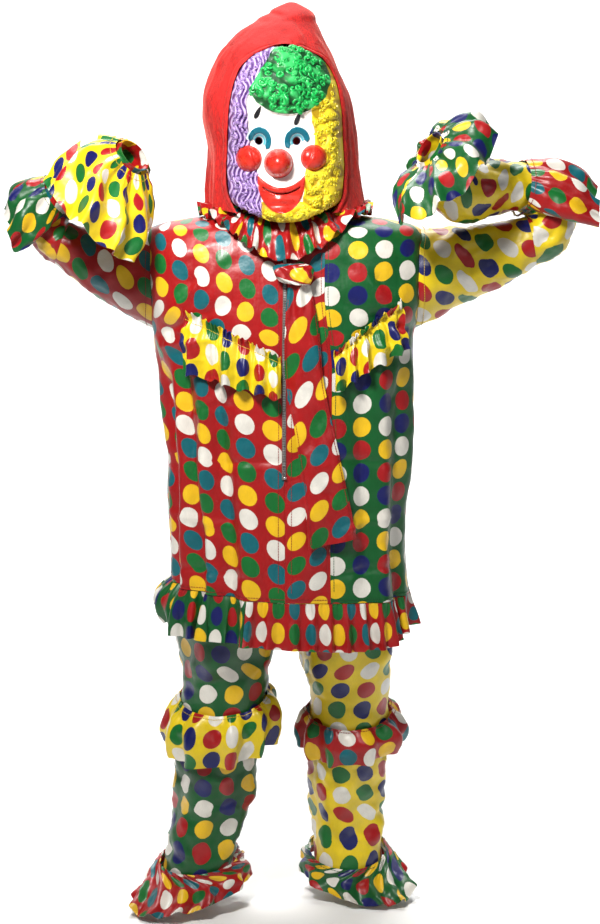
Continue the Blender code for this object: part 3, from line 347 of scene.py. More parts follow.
BUMPS = tuple(Bump(*row) for row in (
    (-0.008, 1.03, 0.0185, 0.0185, 0.027, True), (-0.047, 1.036, 0.0165, 0.0165, 0.013, True),
    (0.038, 1.037, 0.0165, 0.0165, 0.013, True), (-0.007, 1.13, 0.056, 0.033, 0.015),
    (-0.066, 1.09, 0.02, 0.07, 0.009), (0.062, 1.06, 0.02, 0.07, 0.009),
    (-0.034, 1.06, 0.015, 0.011, -0.006), (0.016, 1.06, 0.015, 0.011, -0.006),
    (-0.006, 0.998, 0.03, 0.012, 0.008), (-0.006, 0.983, 0.022, 0.008, 0.006),
    (-0.006, 0.964, 0.02, 0.01, 0.008),
))
EYES = ((-0.034, 1.059), (0.0155, 1.059))   # middle of each eye hole, x and z

TIE = tuple(Strip(*row) for row in (
    (0.8695, 0.004, 0.034, 0.0065), (0.83, 0.001, 0.042, 0.0045), (0.75, 0.0005, 0.05, 0.003),
    (0.665, 0.015, 0.066, 0.004), (0.595, 0.024, 0.08, 0.0055), (0.529, 0.031, 0.093, 0.007),
))

CHEST_RIGHT = Flounce(near=-0.005, far=-0.133, near_top=0.767, far_top=0.826,
                      near_length=0.048, far_length=0.072, count=6, seed=0.3)
CHEST_LEFT = Flounce(near=0.064, far=0.153, near_top=0.774, far_top=0.84,
                     near_length=0.046, far_length=0.058, count=5, seed=1.4)


# ---------------------------------------------------------------- mathematics
def follow(keys: Sequence[float], values: Sequence, at: Points) -> Points:
    """Cubic through the rows of a table, read between its keys.

    Args:
        keys: Place of each row.
        values: One tuple of numbers for each key.
        at: Places to read, of any shape.

    Returns:
        The rows at those places, with the columns as the last axis.
    """
    keys = np.asarray(keys, float)
    values = np.asarray(values, float)
    at = np.asarray(at, float)
    slopes = np.gradient(values, keys, axis=0)
    low = np.clip(np.searchsorted(keys, at, side="right") - 1, 0, len(keys) - 2)
    step = (keys[low + 1] - keys[low])[..., None]
    f = (at - keys[low])[..., None] / step
    start = (2 * f**3 - 3 * f**2 + 1) * values[low] + (f**3 - 2 * f**2 + f) * step * slopes[low]
    end = (3 * f**2 - 2 * f**3) * values[low + 1] + (f**3 - f**2) * step * slopes[low + 1]
    return start + end


def power(value: Points, exponent: float | Points) -> Points:
    """Power that keeps the sign."""
    return np.sign(value) * np.abs(value) ** exponent


def smooth(value: Points) -> Points:
    """Soft step from 0 to 1."""
    value = np.clip(value, 0.0, 1.0)
    return value * value * (3 - 2 * value)


def hill(value: Points, width: float | Points) -> Points:
    """Smooth hill, 1 where the value is 0."""
    return np.exp(-(value / width) ** 2)


def wrap(angle: Points) -> Points:
    """Angle brought between -pi and pi."""
    return (angle + math.pi) % TAU - math.pi


def circle(count: int) -> Points:
    """Row of even angles round a full turn."""
    return np.arange(count)[None] * TAU / count


def paired(v: Points, a: Points) -> Sequence[Points]:
    """Two arrays of numbers brought to one shape."""
    return np.broadcast_arrays(np.asarray(v, float), np.asarray(a, float))


def section_at(rings: Sequence[Ring], v: Points) -> Points:
    """Section of a tube at v, which counts its rings."""
    return follow(np.arange(len(rings)), rings, v)


def between_ends(rings: Sequence[Ring], v: Points, first: float, last: float) -> Points:
    """Share that is 0 at both ends of a tube and 1 from these distances inward."""
    return smooth(v / first) * smooth((len(rings) - 1 - v) / last)


def blend(plain: Surface, rough: Surface, v: Points, a: Points, share: Points) -> Points:
    """Points of a plain surface, turned into a rough one by a share of 0 to 1."""
    share = share[..., None]
    return plain(v, a) * (1 - share) + rough(v, a) * share


def put_ring(section: Points, angle: Points, push: Points | float = 0.0) -> Points:
    """Points of sections at angles, pushed outward.

    Args:
        section: Ring numbers in the last axis.
        angle: Angles round the ring.
        push: Extra radius.

    Returns:
        Points above the floor.
    """
    z, wide, deep, x, y, tilt, turn, spin, saddle, _, square, side, back = np.moveaxis(
        section, -1, 0)
    tilt, turn, spin = np.radians(tilt), np.radians(turn), np.radians(spin)
    z = z + side * np.cos(angle + spin) + back * np.sin(angle + spin)
    c, s = np.cos(angle), np.sin(angle)
    u = (wide + push) * power(c, 2 / square)
    v = (deep + push) * power(s, 2 / square)
    w = saddle * (1 - s**4)
    u, v = u * np.cos(spin) - v * np.sin(spin), u * np.sin(spin) + v * np.cos(spin)
    across = u * np.cos(tilt) + w * np.sin(tilt)
    up = w * np.cos(tilt) - u * np.sin(tilt)
    east = across * np.cos(turn) - v * np.sin(turn)
    north = across * np.sin(turn) + v * np.cos(turn)
    return np.stack([x + east, y + north, z + up], -1)


def normal_of(shape: Surface, v: Points, a: Points) -> Points:
    """Unit normals of a surface shape(v, a), from small steps."""
    step = 1e-4
    along = shape(v + step, a) - shape(v - step, a)
    across = shape(v, a + step) - shape(v, a - step)
    n = np.cross(across, along)
    return n / np.linalg.norm(n, axis=-1, keepdims=True)


def folds(count: int, turn: Points, seed: float) -> tuple[Points, Points]:
    """Phase and size of uneven folds at places turn, 0 to 1 along an edge."""
    slow, quick = 6 * np.pi * turn + seed, 14 * np.pi * turn + 2 * seed
    phase = turn + 0.011 * (np.sin(slow) - math.sin(seed))
    phase = phase + 0.0055 * (np.sin(quick) - math.sin(2 * seed))
    rate = 1 + 0.066 * np.pi * np.cos(slow) + 0.077 * np.pi * np.cos(quick)
    size = 1 + 0.2 * np.sin(4 * np.pi * turn + 1.7 * seed)
    return count * phase, size * np.clip(1 / rate, 0.6, 1.25)


def crumple(points: Points, size: float, seed: int, stretch: Sequence[float] = (1, 1, 1),
            octaves: int = 3) -> Points:
    """Smooth uneven relief of cloth, about -1 to 1, at points in space.

    Args:
        points: Places, with x, y, z as the last axis.
        size: Length of the largest wrinkle in metres.
        seed: Number that fixes the pattern.
        stretch: How many times longer the wrinkles are along each axis.
        octaves: How many finer sets are added.

    Returns:
        One number for each point.
    """
    rng = np.random.default_rng(seed)
    place = points / (np.asarray(stretch, float) * size) * TAU
    total = np.zeros(points.shape[:-1])
    weight = 1.0
    bend = np.zeros_like(place)
    for _ in range(octaves):
        layer = np.zeros_like(total)
        for _ in range(4):
            way = rng.normal(size=3)
            way /= np.linalg.norm(way)
            wave = np.sin((place + bend) @ way + rng.uniform(0, TAU))
            layer += wave * np.abs(wave) ** 0.4
            bend = bend + 0.35 * wave[..., None] * rng.normal(size=3)
        total += weight * layer / 2.4
        weight *= 0.5
        place = place * 1.9
    return total / 1.6


# ---------------------------------------------------------------- meshes
class Across(Enum):
    """What the width of the cloth is measured on."""

    ROW = "each row"
    EDGE = "the last row"


@dataclass(frozen=True)
class Lay:
    """How the print lies on a piece.

    Attributes:
        x, z: Place above the floor where a dot has its middle, if the piece is pinned.
        colour: Which dot of the cycle lies there, 0 to 3.
        slope: Degrees by which a row of dots runs down to the wearer's left.
        lean: Degrees by which a column of dots leans to the wearer's left going down.
        crosswise: Cut across the cloth, so that the rows run up and down.
        shift: Columns and rows by which an unpinned print is moved.
        tight: How much more cloth there is than shows, across and down, in fine gathers.
    """

    x: float | None = None
    z: float = 0.0
    colour: int = 0
    slope: float = 0.0
    lean: float = 0.0
    crosswise: bool = False
    shift: tuple[float, float] = (0.0, 0.0)
    tight: tuple[float, float] = (1.0, 1.0)


DOT_ACROSS = 0.037        # from one dot's middle to the next along a row
DOT_DOWN = 0.0312          # from one row of dots to the next


@dataclass
class Shell:
    """A cloth wall over a grid of points on its outer side.

    Attributes:
        name: Piece's name.
        points: Places above the floor, row by row.
        closed: The last column meets the first one.
        thickness: Thickness of the wall.
        toward: Direction in which an open piece faces.
        across: What the print's width is measured on.
        datum: Column from which that width is measured.
        per_column: Lengths are measured down every column.
        lay: How the print lies.
        skip: Cells that are left open.
        weld_from: Row from which the first and last columns are one.
        measured: Distances across and down that replace the measured ones.
        fullness: How much more cloth than shows lies at each point.
    """

    name: str
    points: Points
    closed: bool = False
    thickness: float = WALL
    toward: Sequence[float] | None = None
    across: Across = Across.ROW
    datum: int = 0
    per_column: bool = False
    lay: Lay = field(default_factory=Lay)
    skip: Points | None = None
    weld_from: int | None = None
    measured: tuple[Points, Points] | None = None
    fullness: Points | None = None

    def normals(self) -> Points:
        """Unit normals at the grid's points, not yet turned outward."""
        p = self.points
        if self.closed:
            ring = np.concatenate([p[:, -1:], p, p[:, :1]], axis=1)
            side = (ring[:, 2:] - ring[:, :-2]) / 2
        else:
            side = np.gradient(p, axis=1)
        down = np.gradient(p, axis=0)
        n = np.cross(side, down)
        n = n / np.maximum(np.linalg.norm(n, axis=-1, keepdims=True), 1e-12)
        if self.weld_from is not None:
            both = n[self.weld_from:, 0] + n[self.weld_from:, -1]
            both = both / np.maximum(np.linalg.norm(both, axis=-1, keepdims=True), 1e-12)
            n[self.weld_from:, 0] = n[self.weld_from:, -1] = both
        return n

    def faces_away(self, normals: Points) -> bool:
        """Whether the normals as computed already point outward."""
        if self.toward is not None:
            return bool((normals * np.asarray(self.toward, float)).sum() > 0)
        middle = self.points.mean(axis=1, keepdims=True)
        return bool(((self.points - middle) * normals).sum() > 0)

    def measures(self) -> tuple[Points, Points]:
        """Widths and lengths in metres of cloth at the grid's corners.

        Returns:
            Distance across and distance down, with one column more on a closed grid.
        """
        if self.measured is not None:
            return self.measured
        p = self.points
        ring = np.concatenate([p, p[:, :1]], axis=1) if self.closed else p
        steps = np.linalg.norm(np.diff(ring, axis=1), axis=-1)
        if self.fullness is not None:
            steps = steps * self.fullness[:, 1:]
        across = np.concatenate([np.zeros((len(p), 1)), np.cumsum(steps, axis=1)], axis=1)
        if self.across is Across.EDGE:
            across = np.repeat(across[-1:], len(p), axis=0)
        across = across - across[:, self.datum:self.datum + 1]
        falls = np.linalg.norm(np.diff(ring, axis=0), axis=-1)
        if not self.per_column:
            falls = np.repeat(falls.mean(axis=1, keepdims=True), ring.shape[1], axis=1)
        down = np.concatenate([np.zeros((1, ring.shape[1])), np.cumsum(falls, axis=0)], axis=0)
        return across, down

    def print_map(self) -> Points:
        """Place on the printed cloth, in metres, of every grid corner."""
        across, down = self.measures()
        lay = self.lay
        across, down = across * lay.tight[0], down * lay.tight[1]
        v = down - math.tan(math.radians(lay.slope)) * across
        u = across - math.tan(math.radians(lay.lean)) * down
        if lay.crosswise:
            u, v = v, -u
        if lay.x is not None:
            p = self.points
            miss = np.hypot(p[..., 0] - lay.x, p[..., 2] - lay.z) + 10.0 * (p[..., 1] > 0.02)
            r, c = np.unravel_index(int(np.argmin(miss)), miss.shape)
            u = u - u[r, c] + 0.5 * DOT_ACROSS
            v = v - v[r, c] + (0.5 + lay.colour) * DOT_DOWN
        u = u + lay.shift[0] * DOT_ACROSS
        v = v + lay.shift[1] * DOT_DOWN
        return np.stack([u, v], -1)

    def quads(self) -> tuple[Points, Points]:
        """Outer faces as point numbers, and the print's corner of each."""
        rows, columns = self.points.shape[:2]
        prints = self.print_map()
        wide = prints.shape[1]
        r = np.arange(rows - 1)[:, None]
        c = np.arange(wide - 1)[None]
        d = (c + 1) % columns if self.closed else c + 1
        zero = np.zeros_like(r * c)
        quads = np.stack([r * columns + c + zero, r * columns + d + zero,
                          (r + 1) * columns + d + zero, (r + 1) * columns + c + zero], -1)
        corners = np.stack([prints[:-1, :-1], prints[:-1, 1:], prints[1:, 1:],
                            prints[1:, :-1]], axis=2)
        quads, corners = quads.reshape(-1, 4), corners.reshape(-1, 4, 2)
        if self.weld_from is not None:
            last = (quads % columns == columns - 1) & (quads // columns >= self.weld_from)
            quads = np.where(last, quads - columns + 1, quads)
        if self.skip is not None:
            keep = ~self.skip.reshape(-1)
            quads, corners = quads[keep], corners[keep]
        return quads, corners

    def build(self, finish: Material) -> Object:
        """Closed wall with its print map.

        Args:
            finish: Material of the whole piece.

        Returns:
            The object, at the origin, with its place in its mesh.
        """
        quads, corners = self.quads()
        normals = self.normals()
        if not self.faces_away(normals):
            normals = -normals
            quads, corners = quads[:, ::-1], corners[:, ::-1]
        outer = self.points.reshape(-1, 3) - BASE
        count = len(outer)
        inner = outer - normals.reshape(-1, 3) * self.thickness
        ahead = np.roll(quads, -1, axis=1)
        lone = ~np.isin(quads * count + ahead, ahead * count + quads)
        f, k = np.nonzero(lone)
        i, j = quads[f, k], ahead[f, k]
        at_i, at_j = corners[f, k], corners[f, (k + 1) % 4]
        rim = np.stack([j, i, i + count, j + count], -1)
        rim_corners = np.stack([at_j, at_i, at_i, at_j], 1)
        faces = np.concatenate([quads, quads[:, ::-1] + count, rim])
        maps = np.concatenate([corners, corners[:, ::-1], rim_corners])
        return put_mesh(self.name, np.concatenate([outer, inner]), faces, finish, maps)


def put_mesh(name: str, points: Points, faces: Points | list, finish: Material,
             maps: Points | None = None, smooth_it: bool = True) -> Object:
    """Object of one mesh in the frame.

    Args:
        name: Piece's name.
        points: Places in the frame.
        faces: Point numbers of each face.
        finish: Material of the whole piece.
        maps: Place on the cloth of every face corner.
        smooth_it: Shade softly, with edges over 50 degrees kept sharp.

    Returns:
        The linked object.
    """
    faces = np.asarray(faces)
    used, back = np.unique(faces, return_inverse=True)
    faces = back.reshape(faces.shape)
    mesh = bpy.data.meshes.new(name)
    mesh.from_pydata(np.asarray(points)[used].tolist(), [], faces.tolist())
    if maps is not None:
        layer = mesh.uv_layers.new(name="cloth")
        layer.data.foreach_set("uv", np.ascontiguousarray(maps, np.float32).ravel())
    mesh.materials.append(finish)
    if smooth_it:
        mesh.polygons.foreach_set("use_smooth", np.ones(len(mesh.polygons), bool))
        mesh.update()
        mesh.set_sharp_from_angle(angle=SHARP)
    mesh.update()
    return put_object(name, mesh)


def put_object(name: str, mesh: Mesh) -> Object:
    """Linked object of a mesh."""
    item = bpy.data.objects.new(name, mesh)
    bpy.context.scene.collection.objects.link(item)
    return item


def cloth_area(item: Object) -> float:
    """Half of the surface of a thin wall, in square metres."""
    return sum(face.area for face in item.data.polygons) / 2


# ---------------------------------------------------------------- finishes
class Nodes:
    """Short way to put nodes in a tree and to set or link their inputs."""

    def __init__(self, tree: NodeTree) -> None:
        """Keep the tree."""
        self.tree = tree

    def add(self, kind: str, inputs: dict | None = None, **settings) -> Node:
        """Node of a kind, with values or links for its inputs.

        Args:
            kind: Blender's name of the node.
            inputs: Value or socket for each input, by name or number.
            **settings: Properties of the node.

        Returns:
            The new node.
        """
        node = self.tree.nodes.new(kind)
        for key, value in settings.items():
            setattr(node, key, value)
        for key, value in (inputs or {}).items():
            self.set(node.inputs[key], value)
        return node

    def set(self, socket: NodeSocket, value: Input) -> None:
        """Link a socket or give it a value."""
        if isinstance(value, NodeSocket):
            self.tree.links.new(value, socket)
        else:
            socket.default_value = value


class Tree(Nodes):
    """A material with short ways to reach its shader and common nodes."""

    def __init__(self, name: str) -> None:
        """Make the material and find its shader."""
        self.material = bpy.data.materials.new(name)
        self.material.use_nodes = True
        super().__init__(self.material.node_tree)
        self.shader = self.tree.nodes["Principled BSDF"]
        self.solid = self.add("ShaderNodeTexCoord").outputs["Object"]

    def shade(self, **inputs: Input) -> Material:
        """Set the shader's inputs, with _ for each space, and return the material."""
        for key, value in inputs.items():
            self.set(self.shader.inputs[key.replace("_", " ")], value)
        return self.material

    def math(self, operation: str, a: Input, b: Input = 0.0) -> NodeSocket:
        """Result of one operation on numbers."""
        return self.add("ShaderNodeMath", {0: a, 1: b}, operation=operation).outputs[0]

    def vector(self, operation: str, a: Input, b: Input = (0.0, 0.0, 0.0)) -> Node:
        """Node of one operation on vectors."""
        return self.add("ShaderNodeVectorMath", {0: a, 1: b}, operation=operation)

    def mix(self, share: Input, a: Input, b: Input, blend: str = "MIX") -> NodeSocket:
        """Mixed colour."""
        node = self.add("ShaderNodeMix", data_type="RGBA", blend_type=blend)
        self.set(node.inputs[0], share)
        self.set(node.inputs[6], a)
        self.set(node.inputs[7], b)
        return node.outputs[2]

    def ramp(self, value: Input, stops: Sequence[tuple[float, tuple]],
             constant: bool = False) -> NodeSocket:
        """Colour read from stops of place and colour."""
        node = self.add("ShaderNodeValToRGB", {0: value})
        ramp = node.color_ramp
        ramp.interpolation = "CONSTANT" if constant else "EASE"
        while len(ramp.elements) < len(stops):
            ramp.elements.new(0.5)
        for element, (place, colour) in zip(ramp.elements, stops):
            element.position = place
        for element, (place, colour) in zip(ramp.elements, stops):
            element.color = (*colour, 1.0)
        return node.outputs[0]

    def noise(self, place: Input, scale: float, detail: float = 2.0, kind: str = "FBM",
              rough: float = 0.5) -> NodeSocket:
        """Noise at a place, about 0 to 1."""
        node = self.add("ShaderNodeTexNoise", {"Vector": place, "Scale": scale,
                                               "Detail": detail, "Roughness": rough},
                        noise_type=kind)
        return node.outputs[0]

    def step(self, value: Input, edge: float, soft: float) -> NodeSocket:
        """1 where the value is under an edge, 0 above it, with a soft change."""
        node = self.add("ShaderNodeMapRange", {"Value": value, 1: edge - soft, 2: edge + soft,
                                               3: 1.0, 4: 0.0})
        return node.outputs[0]

    def bump(self, height: Input, distance: float, strength: float = 1.0,
             under: Input | None = None) -> NodeSocket:
        """Normal changed by a height."""
        node = self.add("ShaderNodeBump", {"Height": height, "Distance": distance,
                                           "Strength": strength})
        if under is not None:
            self.set(node.inputs["Normal"], under)
        return node.outputs[0]

    def spread(self, value: Input, low: float, high: float) -> NodeSocket:
        """Noise around 0.5 spread from a low to a high value."""
        node = self.add("ShaderNodeMapRange", {"Value": value, 1: 0.3, 2: 0.7, 3: low, 4: high})
        return node.outputs[0]


RED = (0.36, 0.004, 0.005)
GREEN = (0.002, 0.095, 0.018)
YELLOW = (0.82, 0.6, 0.008)
WHITE_DOT = (0.76, 0.73, 0.66)
YELLOW_DOT = (0.82, 0.5, 0.01)
TEAL_DOT = (0.002, 0.12, 0.15)
GREEN_DOT = (0.003, 0.14, 0.022)
RED_DOT = (0.38, 0.005, 0.007)
NAVY_DOT = (0.004, 0.007, 0.11)


@dataclass(frozen=True)
class DotSatin:
    """Satin printed with round dots in four colours that follow each other.

    Attributes:
        name: Material's name, the record's slot.
        ground: Colour between the dots.
        dots: The four colours going down a column.
        radius: Radius of a dot in metres.
        ragged: How far a dot's edge wanders.
        soft: Half width of a dot's blurred edge.
    """

    name: str
    ground: tuple[float, float, float]
    dots: tuple[tuple[float, float, float], ...]
    radius: float = 0.0133
    ragged: float = 0.001
    soft: float = 0.00022

    def material(self) -> Material:
        """Build the node tree once and return its material."""
        ready = bpy.data.materials.get(self.name + "_finish")
        if ready:
            return ready
        t = Tree(self.name + "_finish")
        place = t.add("ShaderNodeUVMap", uv_map="cloth").outputs[0]
        cell = t.vector("DIVIDE", place, (DOT_ACROSS, DOT_DOWN, 1.0)).outputs[0]
        whole = t.vector("FLOOR", cell).outputs[0]
        part = t.vector("SUBTRACT", t.vector("FRACTION", cell).outputs[0], (0.5, 0.5, 0.0))
        off = t.vector("MULTIPLY", part.outputs[0], (DOT_ACROSS, DOT_DOWN, 0.0)).outputs[0]
        ragged = t.math("MULTIPLY", t.noise(place, 700.0, 1.0), self.ragged)
        away = t.math("ADD", t.vector("LENGTH", off).outputs["Value"], ragged)
        dot = t.step(away, self.radius + self.ragged / 2, self.soft)
        split = t.add("ShaderNodeSeparateXYZ", {0: whole})
        order = t.math("FLOORED_MODULO", t.math("SUBTRACT", split.outputs[1],
                                                split.outputs[0]), 4.0)
        stops = [(0.25 * i, colour) for i, colour in enumerate(self.dots)]
        colour = t.ramp(t.math("DIVIDE", t.math("ADD", order, 0.5), 4.0), stops, True)
        printed = t.mix(dot, (*self.ground, 1.0), colour)
        uneven = t.ramp(t.noise(t.solid, 38.0, 3.0), [(0.3, (0.86,) * 3), (0.7, (1.0,) * 3)])
        slub = t.vector("MULTIPLY", place, (1.0, 0.06, 1.0)).outputs[0]
        thread = t.noise(slub, 2400.0, 2.0)
        # uneven slub tone, and painted shade: the thread's bump uses this noise, so the colour
        # darkens in its dips
        slub_tone_and_thread_shade = t.ramp(thread, [(0.3, (0.9,) * 3), (0.75, (1.0,) * 3)])
        shown = t.mix(1.0, t.mix(1.0, printed, uneven, "MULTIPLY"), slub_tone_and_thread_shade, "MULTIPLY")
        shine = t.add("ShaderNodeMapRange", {"Value": t.noise(slub, 500.0, 2.0), 1: 0.2,
                                             2: 0.8, 3: 0.3, 4: 0.46}).outputs[0]
        first = t.bump(t.noise(t.solid, 26.0, 3.0, "RIDGED_MULTIFRACTAL", 0.45), 0.0022, 0.5)
        second = t.bump(t.noise(t.solid, 70.0, 2.0), 0.0014, 0.6, first)
        return t.shade(Base_Color=shown, Roughness=shine, Specular_IOR_Level=0.5,
                       Sheen_Weight=0.04, Sheen_Roughness=0.4,
                       Sheen_Tint=(1.0, 0.93, 0.86, 1.0),
                       Normal=t.bump(thread, 0.00006, 0.6, second))


@dataclass(frozen=True)
class Plush:
    """Short soft pile, painted darker in its depths as shade and lighter at its tips as light, and
    darker in the dips of its brushed waves as shade.
    """

    name: str
    # deep: colour painted in the pile's depths, as their shade
    deep: tuple[float, float, float]
    # tip: colour painted on the pile's tips, as the light on them
    tip: tuple[float, float, float]

    def material(self) -> Material:
        """Build the node tree and return its material."""
        t = Tree(self.name)
        combed = t.vector("MULTIPLY", t.solid, (1.0, 1.0, 0.22)).outputs[0]
        pile = t.noise(combed, 620.0, 3.0, rough=0.7)
        brushed = t.noise(combed, 46.0, 3.0)
        # painted shade and light: this noise also sets the pile's bump, so its dips take the dark
        # colour and its tips the light one
        pile_shade_and_light = t.ramp(pile, [(0.32, self.deep), (0.68, self.tip)])
        # painted shade: the waves' bump uses this noise, so the colour darkens in their dips
        wave_dip_shade = t.ramp(brushed, [(0.3, (0.72,) * 3), (0.72, (1.0,) * 3)])
        wave = t.bump(brushed, 0.0016, 0.7)
        return t.shade(Base_Color=t.mix(1.0, pile_shade_and_light, wave_dip_shade, "MULTIPLY"), Roughness=0.78,
                       Sheen_Weight=0.45, Sheen_Roughness=0.35,
                       Sheen_Tint=(1.0, 0.25, 0.2, 1.0),
                       Normal=t.bump(pile, 0.0006, 0.9, wave))


@dataclass(frozen=True)
class Plain:
    """Plastic, thread, tape or metal of one colour with a fine uneven surface, painted darker in
    that surface's dips as shade.
    """

    name: str
    colour: tuple[float, float, float]
    rough: float = 0.4
    metal: float = 0.0
    grain: float = 900.0
    depth: float = 0.00008
    # share of the colour painted in the fine surface's dips, as their shade
    dip_shade: float = 0.85
    coat: float = 0.0

    def material(self) -> Material:
        """Build the node tree once and return its material."""
        ready = bpy.data.materials.get(self.name)
        if ready:
            return ready
        t = Tree(self.name)
        fine = t.noise(t.solid, self.grain, 3.0)
        # painted shade: the bump uses the same fine noise, so its dips take this darker colour
        low = tuple(c * self.dip_shade for c in self.colour)
        rough = t.spread(t.noise(t.solid, self.grain / 7, 2.0), self.rough * 0.8,
                         min(1.0, self.rough * 1.2))
        return t.shade(Base_Color=t.ramp(fine, [(0.3, low), (0.7, self.colour)]),
                       Roughness=rough, Metallic=self.metal, Coat_Weight=self.coat,
                       Coat_Roughness=0.12, Normal=t.bump(fine, self.depth, 0.8))


class Satin(Enum):
    """The three printed satins."""

    RED = DotSatin("satin_red", RED, (WHITE_DOT, TEAL_DOT, GREEN_DOT, YELLOW_DOT))
    GREEN = DotSatin("satin_green", GREEN, (WHITE_DOT, YELLOW_DOT, RED_DOT, NAVY_DOT))
    YELLOW = DotSatin("satin_yellow", YELLOW, (RED_DOT, NAVY_DOT, GREEN_DOT, WHITE_DOT))


def dress(item: Object, slot: str, *nodes: str) -> Object:
    """Let a piece ride on the one body and replace CAD nodes.

    Args:
        item: Finished piece.
        slot: Material slot of the record; not used.
        *nodes: CAD nodes that the piece stands for.

    Returns:
        The piece.
    """
    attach(item, "root")
    if nodes:
        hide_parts(*nodes)
    return item


# ---------------------------------------------------------------- repeated parts
class Growth(Nodes):
    """Geometry Nodes tree with named inputs that sets small forms on a mesh.

    Its seeds are fixed, so that every run makes the same forms.
    """

    KINDS = {float: "NodeSocketFloat", int: "NodeSocketInt", tuple: "NodeSocketVector"}

    def __init__(self, name: str, ground: str, **inputs: float | int | tuple) -> None:
        """Make the tree and its inputs.

        Args:
            name: Name of the tree.
            ground: Name of the mesh that it starts from.
            **inputs: Value of each further input.
        """
        super().__init__(bpy.data.node_groups.new(name, "GeometryNodeTree"))
        face = self.tree.interface
        face.new_socket(ground, in_out="INPUT", socket_type="NodeSocketGeometry")
        self.values = {}
        for label, value in inputs.items():
            socket = face.new_socket(label, in_out="INPUT", socket_type=self.KINDS[type(value)])
            socket.default_value = value
            self.values[socket.identifier] = value
        face.new_socket("Forms", in_out="OUTPUT", socket_type="NodeSocketGeometry")
        self.start = self.add("NodeGroupInput").outputs

    def chance(self, low: Input, high: Input, **inputs: Input) -> NodeSocket:
        """Random number for each form, between a low and a high value."""
        node = self.add("FunctionNodeRandomValue", {2: low, 3: high, **inputs},
                        data_type="FLOAT")
        return node.outputs[1]

    def place(self, points: Input, form: Input, turn: Input, scale: Input) -> NodeSocket:
        """A turned and scaled form at every point."""
        node = self.add("GeometryNodeInstanceOnPoints", {"Points": points, "Instance": form,
                                                         "Rotation": turn, "Scale": scale})
        return node.outputs["Instances"]

    def finish(self, forms: NodeSocket, paint: Material,
               soft: bool = False) -> None:
        """Realize the forms, give them their material and hand them out."""
        made = self.add("GeometryNodeRealizeInstances", {"Geometry": forms}).outputs[0]
        if soft:
            made = self.add("GeometryNodeSetShadeSmooth", {"Geometry": made}).outputs[0]
        painted = self.add("GeometryNodeSetMaterial", {"Geometry": made, "Material": paint})
        self.add("NodeGroupOutput", {"Forms": painted.outputs["Geometry"]})


class Along(Growth):
    """Tree that sets small blocks at even steps along paths."""

    def __init__(self, name: str, spacing: float, size: tuple[float, float, float],
                 paint: Material) -> None:
        """Build the tree.

        Args:
            name: Name of the tree.
            spacing: Step along the path in metres.
            size: Length along the path, width and height of a block.
            paint: Material of the blocks.
        """
        super().__init__(name, "Path", Spacing=spacing, Size=size, Seed=3, Uneven=0.06)
        start = self.start
        curve = self.add("GeometryNodeMeshToCurve", {"Mesh": start["Path"]}).outputs["Curve"]
        even = self.add("GeometryNodeResampleCurve", {"Curve": curve,
                                                      "Length": start["Spacing"]}, mode="LENGTH")
        block = self.add("GeometryNodeMeshCube").outputs["Mesh"]
        sized = self.add("GeometryNodeTransform", {"Geometry": block, "Scale": start["Size"]})
        tangent = self.add("GeometryNodeInputTangent").outputs[0]
        way = self.add("GeometryNodeInputNamedAttribute", {"Name": "way"},
                       data_type="FLOAT_VECTOR").outputs["Attribute"]
        first = self.add("FunctionNodeAlignRotationToVector", {"Vector": tangent}, axis="X")
        turned = self.add("FunctionNodeAlignRotationToVector",
                          {"Rotation": first.outputs["Rotation"], "Vector": way},
                          axis="Z", pivot_axis="X")
        low, high = (self.add("ShaderNodeMath", {0: 1.0, 1: start["Uneven"]},
                              operation=kind).outputs[0] for kind in ("SUBTRACT", "ADD"))
        self.finish(self.place(even.outputs["Curve"], sized.outputs["Geometry"],
                               turned.outputs["Rotation"],
                               self.chance(low, high, Seed=start["Seed"])), paint)

    def run(self, name: str, paths: Sequence[tuple[Points, Points]],
            closed: bool = False) -> Object:
        """Set the blocks along paths and return one plain mesh object.

        Args:
            name: Piece's name.
            paths: Points above the floor and the way each faces, for every path.
            closed: The paths' ends meet.

        Returns:
            The object with its blocks realized.
        """
        edges = []
        first = 0
        for points, _ in paths:
            count = len(points)
            edges += [(first + i, first + i + 1) for i in range(count - 1)]
            if closed:
                edges.append((first + count - 1, first))
            first += count
        mesh = bpy.data.meshes.new(name + "_path")
        mesh.from_pydata(np.concatenate([points - BASE for points, _ in paths]).tolist(),
                         edges, [])
        layer = mesh.attributes.new("way", "FLOAT_VECTOR", "POINT")
        ways = np.concatenate([way for _, way in paths])
        layer.data.foreach_set("vector", ways.astype(np.float32).ravel())
        return grow(put_object(name, mesh), self)


def grow(item: Object, growth: Growth) -> Object:
    """Run a node tree on an object and keep its result as a plain mesh.

    Args:
        item: Object that carries the tree's input.
        growth: The tree with the values of its inputs.

    Returns:
        The same object with the new mesh and no modifier.
    """
    modifier = item.modifiers.new("grow", "NODES")
    modifier.node_group = growth.tree
    for key, value in growth.values.items():
        modifier[key] = value
    bpy.context.view_layer.update()
    graph = bpy.context.evaluated_depsgraph_get()
    result = bpy.data.meshes.new_from_object(item.evaluated_get(graph), depsgraph=graph)
    item.modifiers.remove(modifier)
    old = item.data
    item.data = result
    result.name = item.name
    bpy.data.meshes.remove(old)
    if "way" in result.attributes:
        result.attributes.remove(result.attributes["way"])
    return item


def path_on(shape: Surface, v: Points, a: Points, lift: float,
            toward: Callable[[Points], Points]) -> tuple[Points, Points]:
    """Path on a surface, lifted off it.

    Args:
        shape: Surface to follow.
        v: Places down it.
        a: Places across it.
        lift: Height over the cloth in metres.
        toward: Rough outward direction at points, which turns the normals out.

    Returns:
        Points above the floor and the outward normals there.
    """
    v, a = paired(v, a)
    points = shape(v, a)
    normals = normal_of(shape, v, a)
    sign = np.sign((normals * toward(points)).sum(-1, keepdims=True))
    normals = normals * np.where(sign == 0, 1.0, sign)
    return points + normals * lift, normals


